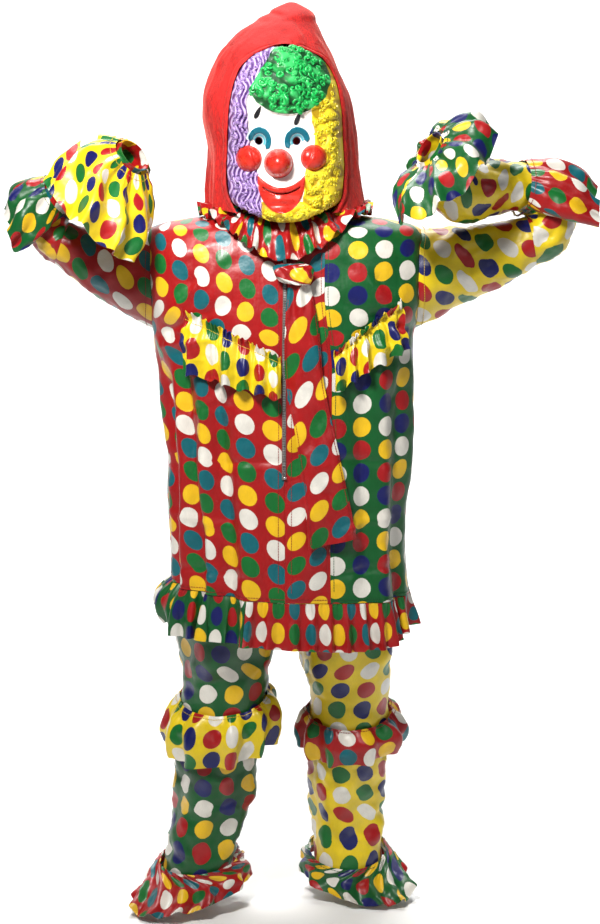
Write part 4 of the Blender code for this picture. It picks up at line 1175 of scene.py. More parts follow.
# ---------------------------------------------------------------- tunic
FLUTES = tuple(Flute(*row) for row in (
    (-171, -168, 0.78, 0.44, 6, 0.007), (-159, -157, 0.8, 0.43, 5, -0.0075),
    (-148, -146, 0.82, 0.44, 5, 0.008), (-139, -136, 0.84, 0.43, 4, -0.0085),
    (-130, -127, 0.84, 0.43, 5, 0.0085), (-120, -118, 0.86, 0.43, 5, -0.009),
    (-109, -108, 0.84, 0.44, 6, 0.005), (-99, -97, 0.72, 0.43, 5, -0.0025),
    (-91, -89, 0.84, 0.52, 3, -0.002), (-81, -78, 0.62, 0.43, 6, 0.0025),
    (-70, -66, 0.86, 0.44, 7, 0.004), (-57, -53, 0.88, 0.43, 5, -0.0055),
    (-46, -42, 0.84, 0.43, 6, 0.005), (-31, -27, 0.8, 0.44, 5, -0.0045),
    (-16, -12, 0.8, 0.43, 7, 0.0055), (1, 4, 0.77, 0.44, 6, -0.004),
    (17, 15, 0.8, 0.43, 7, 0.0045), (33, 36, 0.83, 0.43, 6, -0.0055),
    (49, 47, 0.86, 0.44, 8, 0.006), (66, 63, 0.84, 0.43, 6, -0.0045),
    (79, 82, 0.8, 0.44, 6, 0.0035), (94, 92, 0.84, 0.48, 4, -0.0025),
    (107, 104, 0.86, 0.43, 7, 0.0055), (123, 126, 0.84, 0.43, 6, -0.006),
    (139, 137, 0.82, 0.44, 8, 0.005), (157, 160, 0.8, 0.43, 7, -0.0045),
    (174, 176, 0.76, 0.43, 6, 0.0035),
))
PULLS = tuple(Crease(*row) for row in (
    (-0.16, 0.825, -0.085, 0.9, 0.006, 0.0045), (-0.165, 0.805, -0.07, 0.85, 0.0055, -0.004),
    (-0.168, 0.785, -0.095, 0.8, 0.006, 0.0035), (-0.15, 0.905, -0.075, 0.93, 0.005, 0.003),
    (-0.14, 0.865, -0.06, 0.905, 0.005, -0.0035), (0.16, 0.825, 0.09, 0.895, 0.006, 0.0045),
    (0.165, 0.808, 0.075, 0.845, 0.0055, -0.004), (0.168, 0.78, 0.1, 0.792, 0.006, 0.0035),
    (0.15, 0.9, 0.08, 0.928, 0.005, 0.003), (0.135, 0.87, 0.07, 0.9, 0.005, -0.0035),
    (-0.085, 0.633, -0.004, 0.637, 0.003, -0.0028), (-0.15, 0.7, -0.06, 0.712, 0.004, -0.002),
    (0.07, 0.64, 0.15, 0.628, 0.004, -0.0022), (-0.155, 0.56, -0.07, 0.545, 0.0045, 0.0025),
    (0.075, 0.545, 0.15, 0.56, 0.0045, 0.0025), (-0.14, 0.49, -0.04, 0.478, 0.004, -0.0025),
    (0.06, 0.48, 0.145, 0.492, 0.004, -0.0025), (-0.16, 0.83, -0.06, 0.905, 0.0065, 0.005, True),
    (0.16, 0.828, 0.065, 0.9, 0.0065, 0.005, True), (-0.15, 0.8, -0.08, 0.83, 0.0055, -0.004, True),
    (0.152, 0.802, 0.085, 0.835, 0.0055, -0.004, True),
    (-0.1, 0.636, 0.1, 0.634, 0.0035, -0.0028, True),
    (-0.12, 0.54, 0.06, 0.53, 0.0045, 0.0025, True),
    (-0.06, 0.72, 0.12, 0.735, 0.0045, 0.0025, True),
))
TORSO_HEIGHTS = [ring.z for ring in TORSO]


def torso_section(z: Points) -> Points:
    """Section of the tunic at heights z."""
    return follow(TORSO_HEIGHTS, TORSO, z)


def torso_relief(z: Points, a: Points, section: Points) -> Points:
    """Height of the tunic's folds and pulls at heights z and angles a."""
    flat = put_ring(section, a)
    x, y = flat[..., 0], flat[..., 1]
    total = section[..., 9] * (np.sin(7 * a + 0.6) + 0.5 * np.sin(4 * a + 2.0))
    for row in FLUTES:
        share = np.clip((row.high_z - z) / (row.high_z - row.low_z), 0, 1)
        middle = np.radians(row.top + (row.low - row.top) * share)
        middle = middle + 0.035 * np.sin(17 * z + row.top)
        away = wrap(a - middle)
        wide = math.radians(row.width) * (0.85 + 0.3 * share)
        total += row.rise * smooth(share * 3.0) * hill(away, wide)
    for row in PULLS:
        run = np.array([row.x1 - row.x0, row.z1 - row.z0])
        size = float(np.hypot(*run))
        t = ((x - row.x0) * run[0] + (z - row.z0) * run[1]) / size**2
        off = ((z - row.z0) * run[0] - (x - row.x0) * run[1]) / size
        off = off + 0.1 * size * (t - 0.5) ** 2
        ends = smooth((t + 0.15) / 0.35) * smooth((1.15 - t) / 0.35)
        side = smooth((y if row.back else -y) / 0.03)
        total += row.rise * ends * side * hill(off, row.width)
    soft = crumple(flat, 0.085, 11, (1.0, 1.0, 2.4)) * 0.0022
    small = crumple(flat, 0.03, 12, (1.0, 1.0, 1.3), 2) * 0.0008
    sharp = np.abs(crumple(flat, 0.12, 15, (1.0, 1.0, 1.5), 2)) * 0.005 - 0.002
    fade = smooth((0.95 - z) / 0.05)
    return (total + soft + small + sharp) * fade


def torso_shape(z: Points, a: Points) -> Points:
    """Point of the tunic at heights z and angles a, folds and all."""
    z, a = paired(z, a)
    section = torso_section(z)
    return put_ring(section, a, torso_relief(z, a, section))


def torso_plain(z: Points, a: Points) -> Points:
    """Point of the tunic without its folds."""
    z, a = paired(z, a)
    return put_ring(torso_section(z), a)


def hem_height(a: Points) -> Points:
    """Height of the tunic's lower edge round the body."""
    return 0.446 + 0.005 * np.cos(a) ** 2 - 0.009 * np.cos(a) - 0.001 * np.sin(a)


def armhole_edge(z: Points) -> Points:
    """Half depth of the armhole at heights z."""
    part = np.clip((z - ARMHOLE_MIDDLE) / ARMHOLE_HALF, -1, 1)
    return ARMHOLE_DEEP * np.sqrt(1 - part**2)


def angle_at_x(z: Points, x: Points) -> Points:
    """Angle at the front where the tunic's section has this x."""
    section = torso_section(z)
    part = np.clip((x - section[..., 3]) / section[..., 1], -1, 1)
    return -np.arccos(power(part, section[..., 10] / 2))


def angle_at_y(z: Points, y: Points) -> Points:
    """Angle at the left side where the tunic's section has this y."""
    section = torso_section(z)
    part = np.clip((y - section[..., 4]) / section[..., 2], -1, 1)
    return np.arcsin(power(part, section[..., 10] / 2))


def placket_slant(z: Points) -> Points:
    """How far the strip beside the zip has narrowed at heights z."""
    return 0.009 * smooth((z - 0.76) / 0.1)


def front_point(z: Points, x: Points, stand: Points | float) -> Points:
    """Point in front of the tunic at heights z and places x, standing off it."""
    z, x = paired(z, x)

    def body(z: Points, x: Points) -> Points:
        return torso_plain(z, angle_at_x(z, x))

    normals = normal_of(body, z, x)
    normals = normals * -np.sign(normals[..., 1:2])
    return torso_shape(z, angle_at_x(z, x)) + normals * np.asarray(stand)[..., None]


@dataclass(frozen=True)
class Panel:
    """One panel of the tunic.

    Attributes:
        name: Node that it stands for.
        start, end: Angles of its two edges at heights.
        columns: Steps across it.
        satin, lay: Its cloth and how the print lies.
        cut, area: Width and length, and surface, of its flat cut.
        datum_last: The print's width is measured from the last column.
    """

    name: str
    start: Callable[[Points], Points]
    end: Callable[[Points], Points]
    columns: int
    satin: Satin
    lay: Lay
    cut: tuple[float, float]
    area: float
    datum_last: bool = False


@dataclass
class Tunic:
    """Body of the tunic: two backs, two fronts and the strip beside the zip."""

    rows: int = 84
    armhole_rows: int = 30

    def edges(self) -> tuple[Panel, ...]:
        """The five panels with the functions that give their edges."""
        def side_front(z: Points) -> Points:
            return angle_at_y(z, -armhole_edge(z) - HALF_SEAM)

        def side_back(z: Points) -> Points:
            return angle_at_y(z, armhole_edge(z) + HALF_SEAM)

        def strip_edge(offset: float) -> Callable[[Points], Points]:
            return lambda z: angle_at_x(z, offset + np.minimum(
                PLACKET - placket_slant(z), 0.55 * torso_section(z)[..., 1]))

        return (
            Panel("tunic_front_right", lambda z: -math.pi - side_front(z),
                  lambda z: angle_at_x(z, -HALF_SEAM), 72, Satin.RED,
                  Lay(x=-0.0154, z=0.6466, colour=0, slope=12.0, lean=2.0),
                  (0.3, 0.52), 0.118, True),
            Panel("tunic_placket_left", lambda z: angle_at_x(z, HALF_SEAM),
                  strip_edge(-HALF_SEAM), 18, Satin.RED,
                  Lay(x=0.0165, z=0.5636, colour=0, slope=-23.0, crosswise=True,
                      tight=(1.05, 1.13)),
                  (0.075, 0.52), 0.034),
            Panel("tunic_front_left", strip_edge(HALF_SEAM), side_front, 52, Satin.GREEN,
                  Lay(x=0.0993, z=0.5879, colour=0, slope=-1.0), (0.235, 0.52), 0.09),
            Panel("tunic_back_left", side_back, lambda z: -angle_at_x(z, HALF_SEAM), 68,
                  Satin.GREEN, Lay(shift=(0.3, 0.2), slope=1.0), (0.3, 0.53), 0.121),
            Panel("tunic_back_right", lambda z: -angle_at_x(z, -HALF_SEAM),
                  lambda z: math.pi - side_back(z), 68, Satin.RED,
                  Lay(shift=(0.6, 0.4), slope=-3.0), (0.3, 0.53), 0.121),
        )

    def grid(self, panel: Panel) -> tuple[Points, Points]:
        """Heights and angles of a panel, from its hem up to the neck."""
        lower = np.linspace(0, 1, self.rows)[:-1]
        rise = np.linspace(0, math.pi, self.armhole_rows)
        armhole = ARMHOLE_MIDDLE - ARMHOLE_HALF * np.cos(rise)
        upper = np.concatenate([armhole, np.linspace(0.9435, NECK_RIM, 9)])
        share = np.linspace(0, 1, panel.columns + 1)
        first, last = panel.start(upper), panel.end(upper)
        a_top = first[:, None] + (last - first)[:, None] * share
        a_low = np.repeat(a_top[:1], len(lower), axis=0)
        for _ in range(4):
            hem = hem_height(a_low[:1])
            z_low = hem + (UNDERARM - hem) * lower[:, None]
            first = panel.start(z_low[:, 0])
            last = panel.end(z_low[:, -1])
            a_low = first[:, None] + (last - first)[:, None] * share
        z_top = np.repeat(upper[:, None], panel.columns + 1, axis=1)
        return np.vstack([z_low, z_top])[::-1], np.vstack([a_low, a_top])[::-1]

    def gathers(self, points: Points) -> Points:
        """How much more cloth than shows the red front has in its gathers."""
        x, z = points[..., 0], points[..., 2]
        low = 0.22 * hill(x + 0.096, 0.018) * smooth((0.8 - z) / 0.06)
        return 1.0 + low + 0.22 * smooth((z - 0.8) / 0.06)

    def build(self) -> list[Object]:
        """Make and dress the five panels."""
        made = []
        for panel in self.edges():
            z, a = self.grid(panel)
            points = torso_shape(z, a)
            shell = Shell(panel.name + "_cloth", points, lay=panel.lay,
                          toward=(0, 1, 0.2) if "back" in panel.name else (0, -1, 0.2),
                          datum=a.shape[1] - 1 if panel.datum_last else 0)
            if panel.name == "tunic_front_right":
                shell.fullness = self.gathers(points)
            made.append(sew(shell, panel.satin, panel.cut, area=panel.area))
        return made


def declare(item: Object, cut: tuple[float, float], held: str,
            area: float | None = None, rests_on: Sequence[str] = ()) -> None:
    """Log the area of a piece's flat cut and the area of cloth that it shows.

    Args:
        item: The piece.
        cut: Width and length of its flat cut in metres.
        held: How the cloth is held; not used.
        area: Flat area where the cut isn't a rectangle.
        rests_on: Pieces or nodes that carry it; not used.
    """
    flat = area if area is not None else cut[0] * cut[1]
    shown = cloth_area(item)
    LOG.info("%s: cut %.3f m2, shown %.3f m2, share %.2f", item.name, flat, shown, shown / flat)


def sew(shell: Shell, satin: Satin, cut: tuple[float, float], held: str = "hung",
        **settings) -> Object:
    """Build a piece of satin for the node of its name and log its areas.

    Args:
        shell: Wall, named like its node with _cloth after it.
        satin: Its cloth.
        cut: Width and length of its flat cut in metres.
        held: How the cloth is held; not used.
        **settings: Further settings of declare.

    Returns:
        The dressed piece.
    """
    item = shell.build(satin.value.material())
    dress(item, satin.value.name, shell.name.removesuffix("_cloth"))
    declare(item, cut, held, **settings)
    return item


# ---------------------------------------------------------------- tubes and frills
def tube_shape(rings: Sequence[Ring], waves: int = 0, seed: float = 0.0,
               rough: float = 0.0, mark: int = 1, size: float = 0.06) -> Surface:
    """Surface through rings; v counts the rings and a goes round.

    Args:
        rings: Sections of the tube.
        waves: Folds round it, as high as the rings' ripple.
        seed: Phase of the folds.
        rough: Height of the wrinkles.
        mark: Number that fixes the wrinkles.
        size: Length of the wrinkles.

    Returns:
        The surface as a function of v and a.
    """
    def shape(v: Points, a: Points) -> Points:
        v, a = paired(v, a)
        section = section_at(rings, v)
        push = section[..., 9] * np.sin(waves * a + seed + 0.8 * v) if waves else 0.0
        if rough:
            flat = put_ring(section, a)
            push += rough * crumple(flat, size, mark)
            push += 0.35 * rough * crumple(flat, size * 0.4, mark + 1, octaves=2)
            crease = np.abs(crumple(flat, size * 1.3, mark + 2, octaves=2))
            push += rough * (1.6 * crease - 0.7)
        return put_ring(section, a, push)

    return shape


def armhole_loop(a: Points, side: int) -> Points:
    """Edge of an armhole at sleeve angles a; side is 1 on the left, -1 on the right."""
    z = ARMHOLE_MIDDLE - side * ARMHOLE_HALF * np.cos(a)
    y = ARMHOLE_DEEP * np.sin(a)
    round_it = angle_at_y(z, y)
    if side < 0:
        round_it = math.pi - round_it
    return torso_shape(z, round_it)


def sleeve_shape(rings: Sequence[Ring], side: int, mark: int) -> Surface:
    """Upper sleeve, which starts as the armhole and takes its rings from there."""
    tube = tube_shape(rings, 3, 1.0, 0.0026, mark, 0.055)
    plain = tube_shape(rings)
    lift = np.array([side * SEAM, 0, 0])

    def shape(v: Points, a: Points) -> Points:
        v, a = paired(v, a)
        ease = np.clip(1 - v, 0, 2) ** 2
        first = armhole_loop(a, side) + lift - plain(np.zeros_like(v), a)
        body = blend(plain, tube, v, a, between_ends(rings, v, 0.7, 0.4))
        return body + first * ease[..., None]

    return shape


def forearm_rings(elbow: Elbow, forearm: Sequence[Ring], side: int) -> list[Ring]:
    """Rings of the lower sleeve: round the bend, then along the forearm to the wrist."""
    rings = []
    for tilt in np.linspace(elbow.start, elbow.end, 6):
        angle = math.radians(tilt)
        x = elbow.x + side * elbow.radius * math.cos(angle)
        z = elbow.z - side * elbow.radius * math.sin(angle)
        rings.append(Ring(z, elbow.wide, elbow.deep, x, tilt=tilt))
    rings[0] = rings[0]._replace(x=rings[0].x + side * SEAM)
    return rings + list(forearm)


@dataclass(frozen=True)
class Arm:
    """One sleeve: side, rings, satin and where its seam runs."""

    side: int
    word: str
    upper: tuple[Ring, ...]
    elbow: Elbow
    forearm: tuple[Ring, ...]
    satin: Satin
    seam: float
    mark: int


@dataclass
class Sleeves:
    """Both sleeves, each in an upper and a lower part."""

    around: int = 72
    rows: int = 46
    fore_rows: int = 96

    def arms(self) -> tuple[Arm, Arm]:
        """Sizes of both sleeves."""
        return (Arm(1, "left", SLEEVE_LEFT, ELBOW_LEFT, FOREARM_LEFT, Satin.YELLOW, 0.0, 21),
                Arm(-1, "right", SLEEVE_RIGHT, ELBOW_RIGHT, FOREARM_RIGHT, Satin.RED,
                    math.pi, 31))

    def build(self) -> list[Object]:
        """Make and dress the four parts."""
        made = []
        for arm in self.arms():
            left = arm.side > 0
            a = arm.seam + circle(self.around)
            v = np.linspace(0, len(arm.upper) - 1, self.rows)[:, None]
            points = sleeve_shape(arm.upper, arm.side, arm.mark)(v, a)
            made.append(sew(Shell(f"sleeve_upper_{arm.word}_cloth", points, closed=True,
                                  lay=Lay(shift=(0.2, 0.35))),
                            arm.satin, (0.42, 0.17), area=0.052 if left else 0.043))
            rings = forearm_rings(arm.elbow, arm.forearm, arm.side)
            v = np.linspace(0, len(rings) - 1, self.fore_rows)[:, None]
            rough = tube_shape(rings, 3, 0.5, 0.003, arm.mark + 4, 0.05)
            points = blend(tube_shape(rings), rough, v, a, between_ends(rings, v, 0.6, 0.8))
            made.append(sew(Shell(f"sleeve_fore_{arm.word}_cloth", points, closed=True,
                                  lay=Lay(shift=(0.5, 0.1))),
                            arm.satin, (0.29, 0.3), "gathered",
                            area=0.072 if left else 0.049))
        return made


def elbow_reach(middle: float) -> Callable[[Points], Points]:
    """Length of an elbow frill: short in the crook, whose angle is given, else full."""
    def reach(a: Points) -> Points:
        away = np.abs(wrap(a - middle))
        return 0.03 + 0.97 * smooth((away - math.radians(38)) / math.radians(36))

    return reach


def wrist_reach(a: Points) -> Points:
    """Length of a wrist frill: full in front, short behind the forearm."""
    away = np.abs(wrap(a - math.radians(98)))
    return 0.34 + 0.66 * smooth((away - math.radians(40)) / math.radians(50))


@dataclass(frozen=True)
class Ruffle:
    """Gathered ring with small gathers at its seam and a fluttering edge.

    Attributes:
        node: Node that it stands for.
        rings: Sections from the seam to the free edge.
        count: Number of folds.
        seed: Number that fixes the folds.
        satin: Its cloth.
        cut: Width and length of its flat cut in metres.
        reach: Share of the rings' length that the frill has at angles.
        start: Angle of the first column.
        shift: How the print is moved.
        fine: Height of the small gathers at the seam.
        flutter: Height of the small waves at the free edge.
        toward: Direction in which it faces, if that isn't away from its middle.
        rough: Height of the wrinkles.
        tight: How much more cloth there is than shows, in fine gathers.
        slope: Slope of the print's rows.
        roll: How far the free edge curls back in.
    """

    node: str
    rings: tuple[Ring, ...]
    count: int
    seed: float
    satin: Satin
    cut: tuple[float, float]
    reach: Callable[[Points], Points] | None = None
    start: float = math.pi / 2
    shift: tuple[float, float] = (0.0, 0.0)
    fine: float = 0.0011
    flutter: float = 0.0016
    toward: tuple[float, float, float] | None = None
    rough: float = 0.0017
    tight: float = 1.15
    slope: float = 0.0
    roll: float = 0.0

    def base(self, v: Points, a: Points) -> Points:
        """Ring without its folds."""
        far = self.reach(a) if self.reach else 1.0
        return put_ring(section_at(self.rings, v * far * (len(self.rings) - 1)), a)

    def shape(self, v: Points, a: Points) -> Points:
        """Ring with its folds; v is 0 at the seam and 1 at the free edge."""
        v, a = paired(v, a)
        seed = self.seed
        phase, size = folds(self.count, a / TAU, seed)
        far = self.reach(a) if self.reach else np.ones_like(a)
        height = section_at(self.rings, v * far * (len(self.rings) - 1))[..., 9]
        wave = np.sin(TAU * phase)
        amount = height * size * (wave + 0.16 * np.sin(2 * TAU * phase + seed) * v)
        near = np.clip(1.0 - v / 0.75, 0, 1) ** 1.5 * smooth(v / 0.08 + 0.25)
        amount += self.fine * near * np.sin(3 * TAU * phase + 2.0 * np.sin(3 * a + seed))
        edge = smooth((v - 0.45) / 0.55) * far
        tremble = np.sin(2 * TAU * phase + 1.3 * np.sin(2 * a) + seed)
        amount += self.flutter * edge * tremble
        points = self.base(v, a)
        mark = int(seed * 10)
        amount += self.rough * smooth(v / 0.2) * crumple(points, 0.038, mark + 3)
        crease = np.abs(crumple(points, 0.045, mark + 5, octaves=2))
        amount += self.rough * smooth(v / 0.25) * (1.5 * crease - 0.6)
        normals = normal_of(self.base, v, a)
        if self.roll:
            middle = points[:1].mean(axis=tuple(range(points.ndim - 1)))
            outward = np.sign(((points - middle) * normals).sum())
            puff = 0.6 * np.sin(math.pi * np.clip(v, 0, 1)) - smooth((v - 0.62) / 0.38)
            amount += self.roll * outward * puff * far
        return points + normals * amount[..., None]

    def build(self, rows: int, steps: int) -> Object:
        """Make and dress the ring.

        Args:
            rows: Rows from the seam to the edge.
            steps: Columns for each fold.

        Returns:
            The piece.
        """
        points = self.shape(np.linspace(0, 1, rows)[:, None],
                            self.start + circle(self.count * steps))
        shell = Shell(self.node + "_cloth", points, closed=True, across=Across.EDGE,
                      per_column=self.reach is not None, toward=self.toward,
                      lay=Lay(shift=self.shift, tight=(self.tight, 1.0), slope=self.slope),
                      thickness=FRILL_WALL)
        return sew(shell, self.satin, self.cut, "gathered")


@dataclass
class LimbFrills:
    """Gathered rings of the elbows, wrists, knees and feet."""

    rows: int = 26
    steps: int = 20

    def rings(self) -> tuple[Ruffle, ...]:
        """Every ring of the limbs."""
        return (
            Ruffle("elbow_frill_left", ELBOW_FRILL_LEFT, 8, 0.4, Satin.RED, (0.42, 0.068),
                   elbow_reach(0.0), 0.0, (0.1, 0.3), roll=0.008),
            Ruffle("elbow_frill_right", ELBOW_FRILL_RIGHT, 8, 1.9, Satin.GREEN,
                   (0.38, 0.058), elbow_reach(math.pi), math.pi, (0.4, 0.1), roll=0.008),
            Ruffle("wrist_frill_left", WRIST_FRILL_LEFT, 9, 1.2, Satin.GREEN, (0.42, 0.06),
                   wrist_reach, 1.7, (0.2, 0.6), flutter=0.0022, roll=0.01),
            Ruffle("wrist_frill_right", WRIST_FRILL_RIGHT, 9, 2.6, Satin.YELLOW,
                   (0.5, 0.074), wrist_reach, 1.7, (0.5, 0.2), flutter=0.0022, roll=0.008),
            Ruffle("knee_frill_left", KNEE_FRILL_LEFT, 10, 0.9, Satin.RED, (0.42, 0.07),
                   shift=(0.3, 0.1)),
            Ruffle("knee_frill_right", KNEE_FRILL_RIGHT, 10, 2.2, Satin.YELLOW,
                   (0.5, 0.08), shift=(0.7, 0.5)),
            Ruffle("foot_frill_left", FOOT_FRILL_LEFT, 11, 1.5, Satin.GREEN, (0.42, 0.056),
                   shift=(0.2, 0.2)),
            Ruffle("foot_frill_right", FOOT_FRILL_RIGHT, 11, 0.2, Satin.RED, (0.45, 0.06),
                   shift=(0.6, 0.7)),
        )

    def build(self) -> list[Object]:
        """Make and dress every ring."""
        return [ring.build(self.rows, self.steps) for ring in self.rings()]


HEM_SPLIT = -0.049         # x at the front where the green hem frill meets the red one
HEM_SEED = 0.7
HEM_COUNT = 38
HEM_DROP = 0.064           # length of the frill below the tunic


def hem_lobe(a: Points) -> Points:
    """Share of the loose bulge that the hem frill has at the right side."""
    away = (a + TAU) % TAU - math.radians(178)
    return hill(away, math.radians(24))


def hem_base(v: Points, a: Points) -> Points:
    """Hem frill without its folds: it hangs from the tunic's edge and flares."""
    top = torso_shape(hem_height(a), a)
    out = (top - np.array([0.007, 0.0, 0.0])) * np.array([1, 1, 0])
    out = out / np.linalg.norm(out, axis=-1, keepdims=True)
    left = hill(wrap(a), math.radians(38))
    short = 1 - 0.2 * hem_lobe(a) - 0.3 * left
    flare = 0.008 * v * (1 - 0.8 * left) + 0.02 * hem_lobe(a) * np.sin(math.pi * v)
    drop = 0.001 + HEM_DROP * v * short * (1 - 0.05 * np.sin(3 * a + 1.0))
    return top + out * flare[..., None] - np.array([0, 0, 1.0]) * drop[..., None]


def hem_shape(v: Points, a: Points) -> Points:
    """Hem frill with its folds, small gathers and waves."""
    v, a = paired(v, a)
    phase, size = folds(HEM_COUNT, (a + math.pi) / TAU, HEM_SEED)
    height = (0.0009 + 0.0078 * np.clip(v, 0, 1) ** 0.8) * (1 - 0.5 * hem_lobe(a))
    amount = height * size * (np.sin(TAU * phase) + 0.18 * v * np.sin(2 * TAU * phase + 1.0))
    near = (1 - v) ** 2
    amount += 0.001 * near * np.sin(3 * TAU * phase + 2 * np.sin(5 * a))
    points = hem_base(v, a)
    amount += 0.0022 * v * crumple(points, 0.032, 41)
    return points + normal_of(hem_base, v, a) * amount[..., None]


@dataclass
class HemFrill:
    """Frill below the tunic in two colours, parted at the front and at the back."""

    rows: int = 24
    steps: int = 16

    def build(self) -> list[Object]:
        """Make and dress both parts."""
        front = float(angle_at_x(0.43, HEM_SPLIT))
        back = math.pi / 2
        gap = 0.0025
        made = []
        for node, start, end, satin, cut, shift in (
                ("hem_frill_left", front + gap, back - gap, Satin.RED, (0.6, 0.066),
                 (0.2, 0.3)),
                ("hem_frill_right", back + gap, front + TAU - gap, Satin.GREEN,
                 (0.5, 0.068), (0.5, 0.6))):
            count = int(self.steps * HEM_COUNT * (end - start) / TAU)
            a = np.linspace(start, end, count)[None]
            v = np.linspace(0, 1, self.rows)[:, None]
            shell = Shell(node + "_cloth", hem_shape(v, wrap(a)), across=Across.EDGE,
                          lay=Lay(shift=shift, tight=(1.25, 1.0)), thickness=FRILL_WALL)
            made.append(sew(shell, satin, cut, "gathered"))
        return made


@dataclass
class Collar:
    """Round gathered collar."""

    rows: int = 26
    steps: int = 18
    ruffle: Ruffle = Ruffle("collar_frill", COLLAR, 24, 1.1, Satin.RED, (0.72, 0.062),
                            shift=(0.3, 0.4), fine=0.002, flutter=0.0032,
                            toward=(0, 0, 1), rough=0.004, tight=1.5, slope=24.0)

    def build(self) -> list[Object]:
        """Make and dress the collar."""
        return [self.ruffle.build(self.rows, self.steps)]


@dataclass
class ChestFrills:
    """The two ruffles across the chest, each with a small heading over its gathers."""

    rows: int = 30
    steps: int = 26

    def shape(self, flounce: Flounce) -> Surface:
        """Surface of one ruffle; v is negative on its heading."""
        def place(v: Points, a: Points) -> Points:
            v, a = paired(v, a)
            phase, size = folds(flounce.count, a, flounce.seed)
            x = flounce.near + (flounce.far - flounce.near) * a
            top = flounce.near_top + (flounce.far_top - flounce.near_top) * a
            length = flounce.near_length + (flounce.far_length - flounce.near_length) * a
            down = np.clip(v, 0, 1)
            head = np.clip(-v / HEADING, 0, 1)
            fold = (0.0007 + 0.0058 * down ** 0.7) * size
            stand = LAP + WALL + fold * 1.2 - 0.0004 + 0.004 * down
            stand += fold * np.sin(TAU * phase)
            small = np.sin(3 * TAU * phase + 2 * np.sin(9 * a + flounce.seed))
            stand = stand + 0.0009 * (1 - down) ** 2 * (1 + small) + 0.0012 * head
            stand += 0.0022 * head * (1 + small)
            stand += 0.003 * np.sin(math.pi * np.clip(down * 1.1, 0, 1))
            sag = 0.003 * down * np.sin(TAU * phase + 1.2)
            jag = 0.0022 * head * np.sin(3 * TAU * phase + 1.0)
            points = front_point(top - length * v + jag + sag, x, stand)
            wrinkle = 0.0012 * smooth(down / 0.2) * crumple(points, 0.04, 61)
            return points - np.array([0, 1.0, 0]) * (wrinkle + 0.0008)[..., None]

        return place

    def build(self) -> list[Object]:
        """Make and dress both ruffles."""
        made = []
        for word, flounce, cut, shift in (("right", CHEST_RIGHT, (0.2, 0.068), (0.6, 0.2)),
                                          ("left", CHEST_LEFT, (0.15, 0.064), (0.1, 0.55))):
            a = np.linspace(0, 1, flounce.count * self.steps)[None]
            v = np.concatenate([np.linspace(-HEADING, 0, 7)[:-1],
                                np.linspace(0, 1, self.rows)])[:, None]
            points = self.shape(flounce)(v, a)
            if word == "right":
                points = points[:, ::-1]
            shell = Shell(f"chest_frill_{word}_cloth", points, across=Across.EDGE,
                          toward=FORWARD, lay=Lay(shift=shift), thickness=CHEST_WALL)
            made.append(sew(shell, Satin.YELLOW, cut, "gathered",
                            rests_on=[f"tunic_front_{word}_cloth"]))
        return made


# ---------------------------------------------------------------- necktie and zip
KNOT = tuple(Ring(*row) for row in (
    (0.8716, 0.006, 0.003, 0.019, -0.1175), (0.8722, 0.0146, 0.008, 0.019, -0.1175),
    (0.88, 0.0235, 0.0115, 0.014, -0.117), (0.893, 0.026, 0.011, 0.011, -0.1155),
    (0.8986, 0.0185, 0.0072, 0.01, -0.111), (0.8992, 0.008, 0.003, 0.01, -0.111),
))


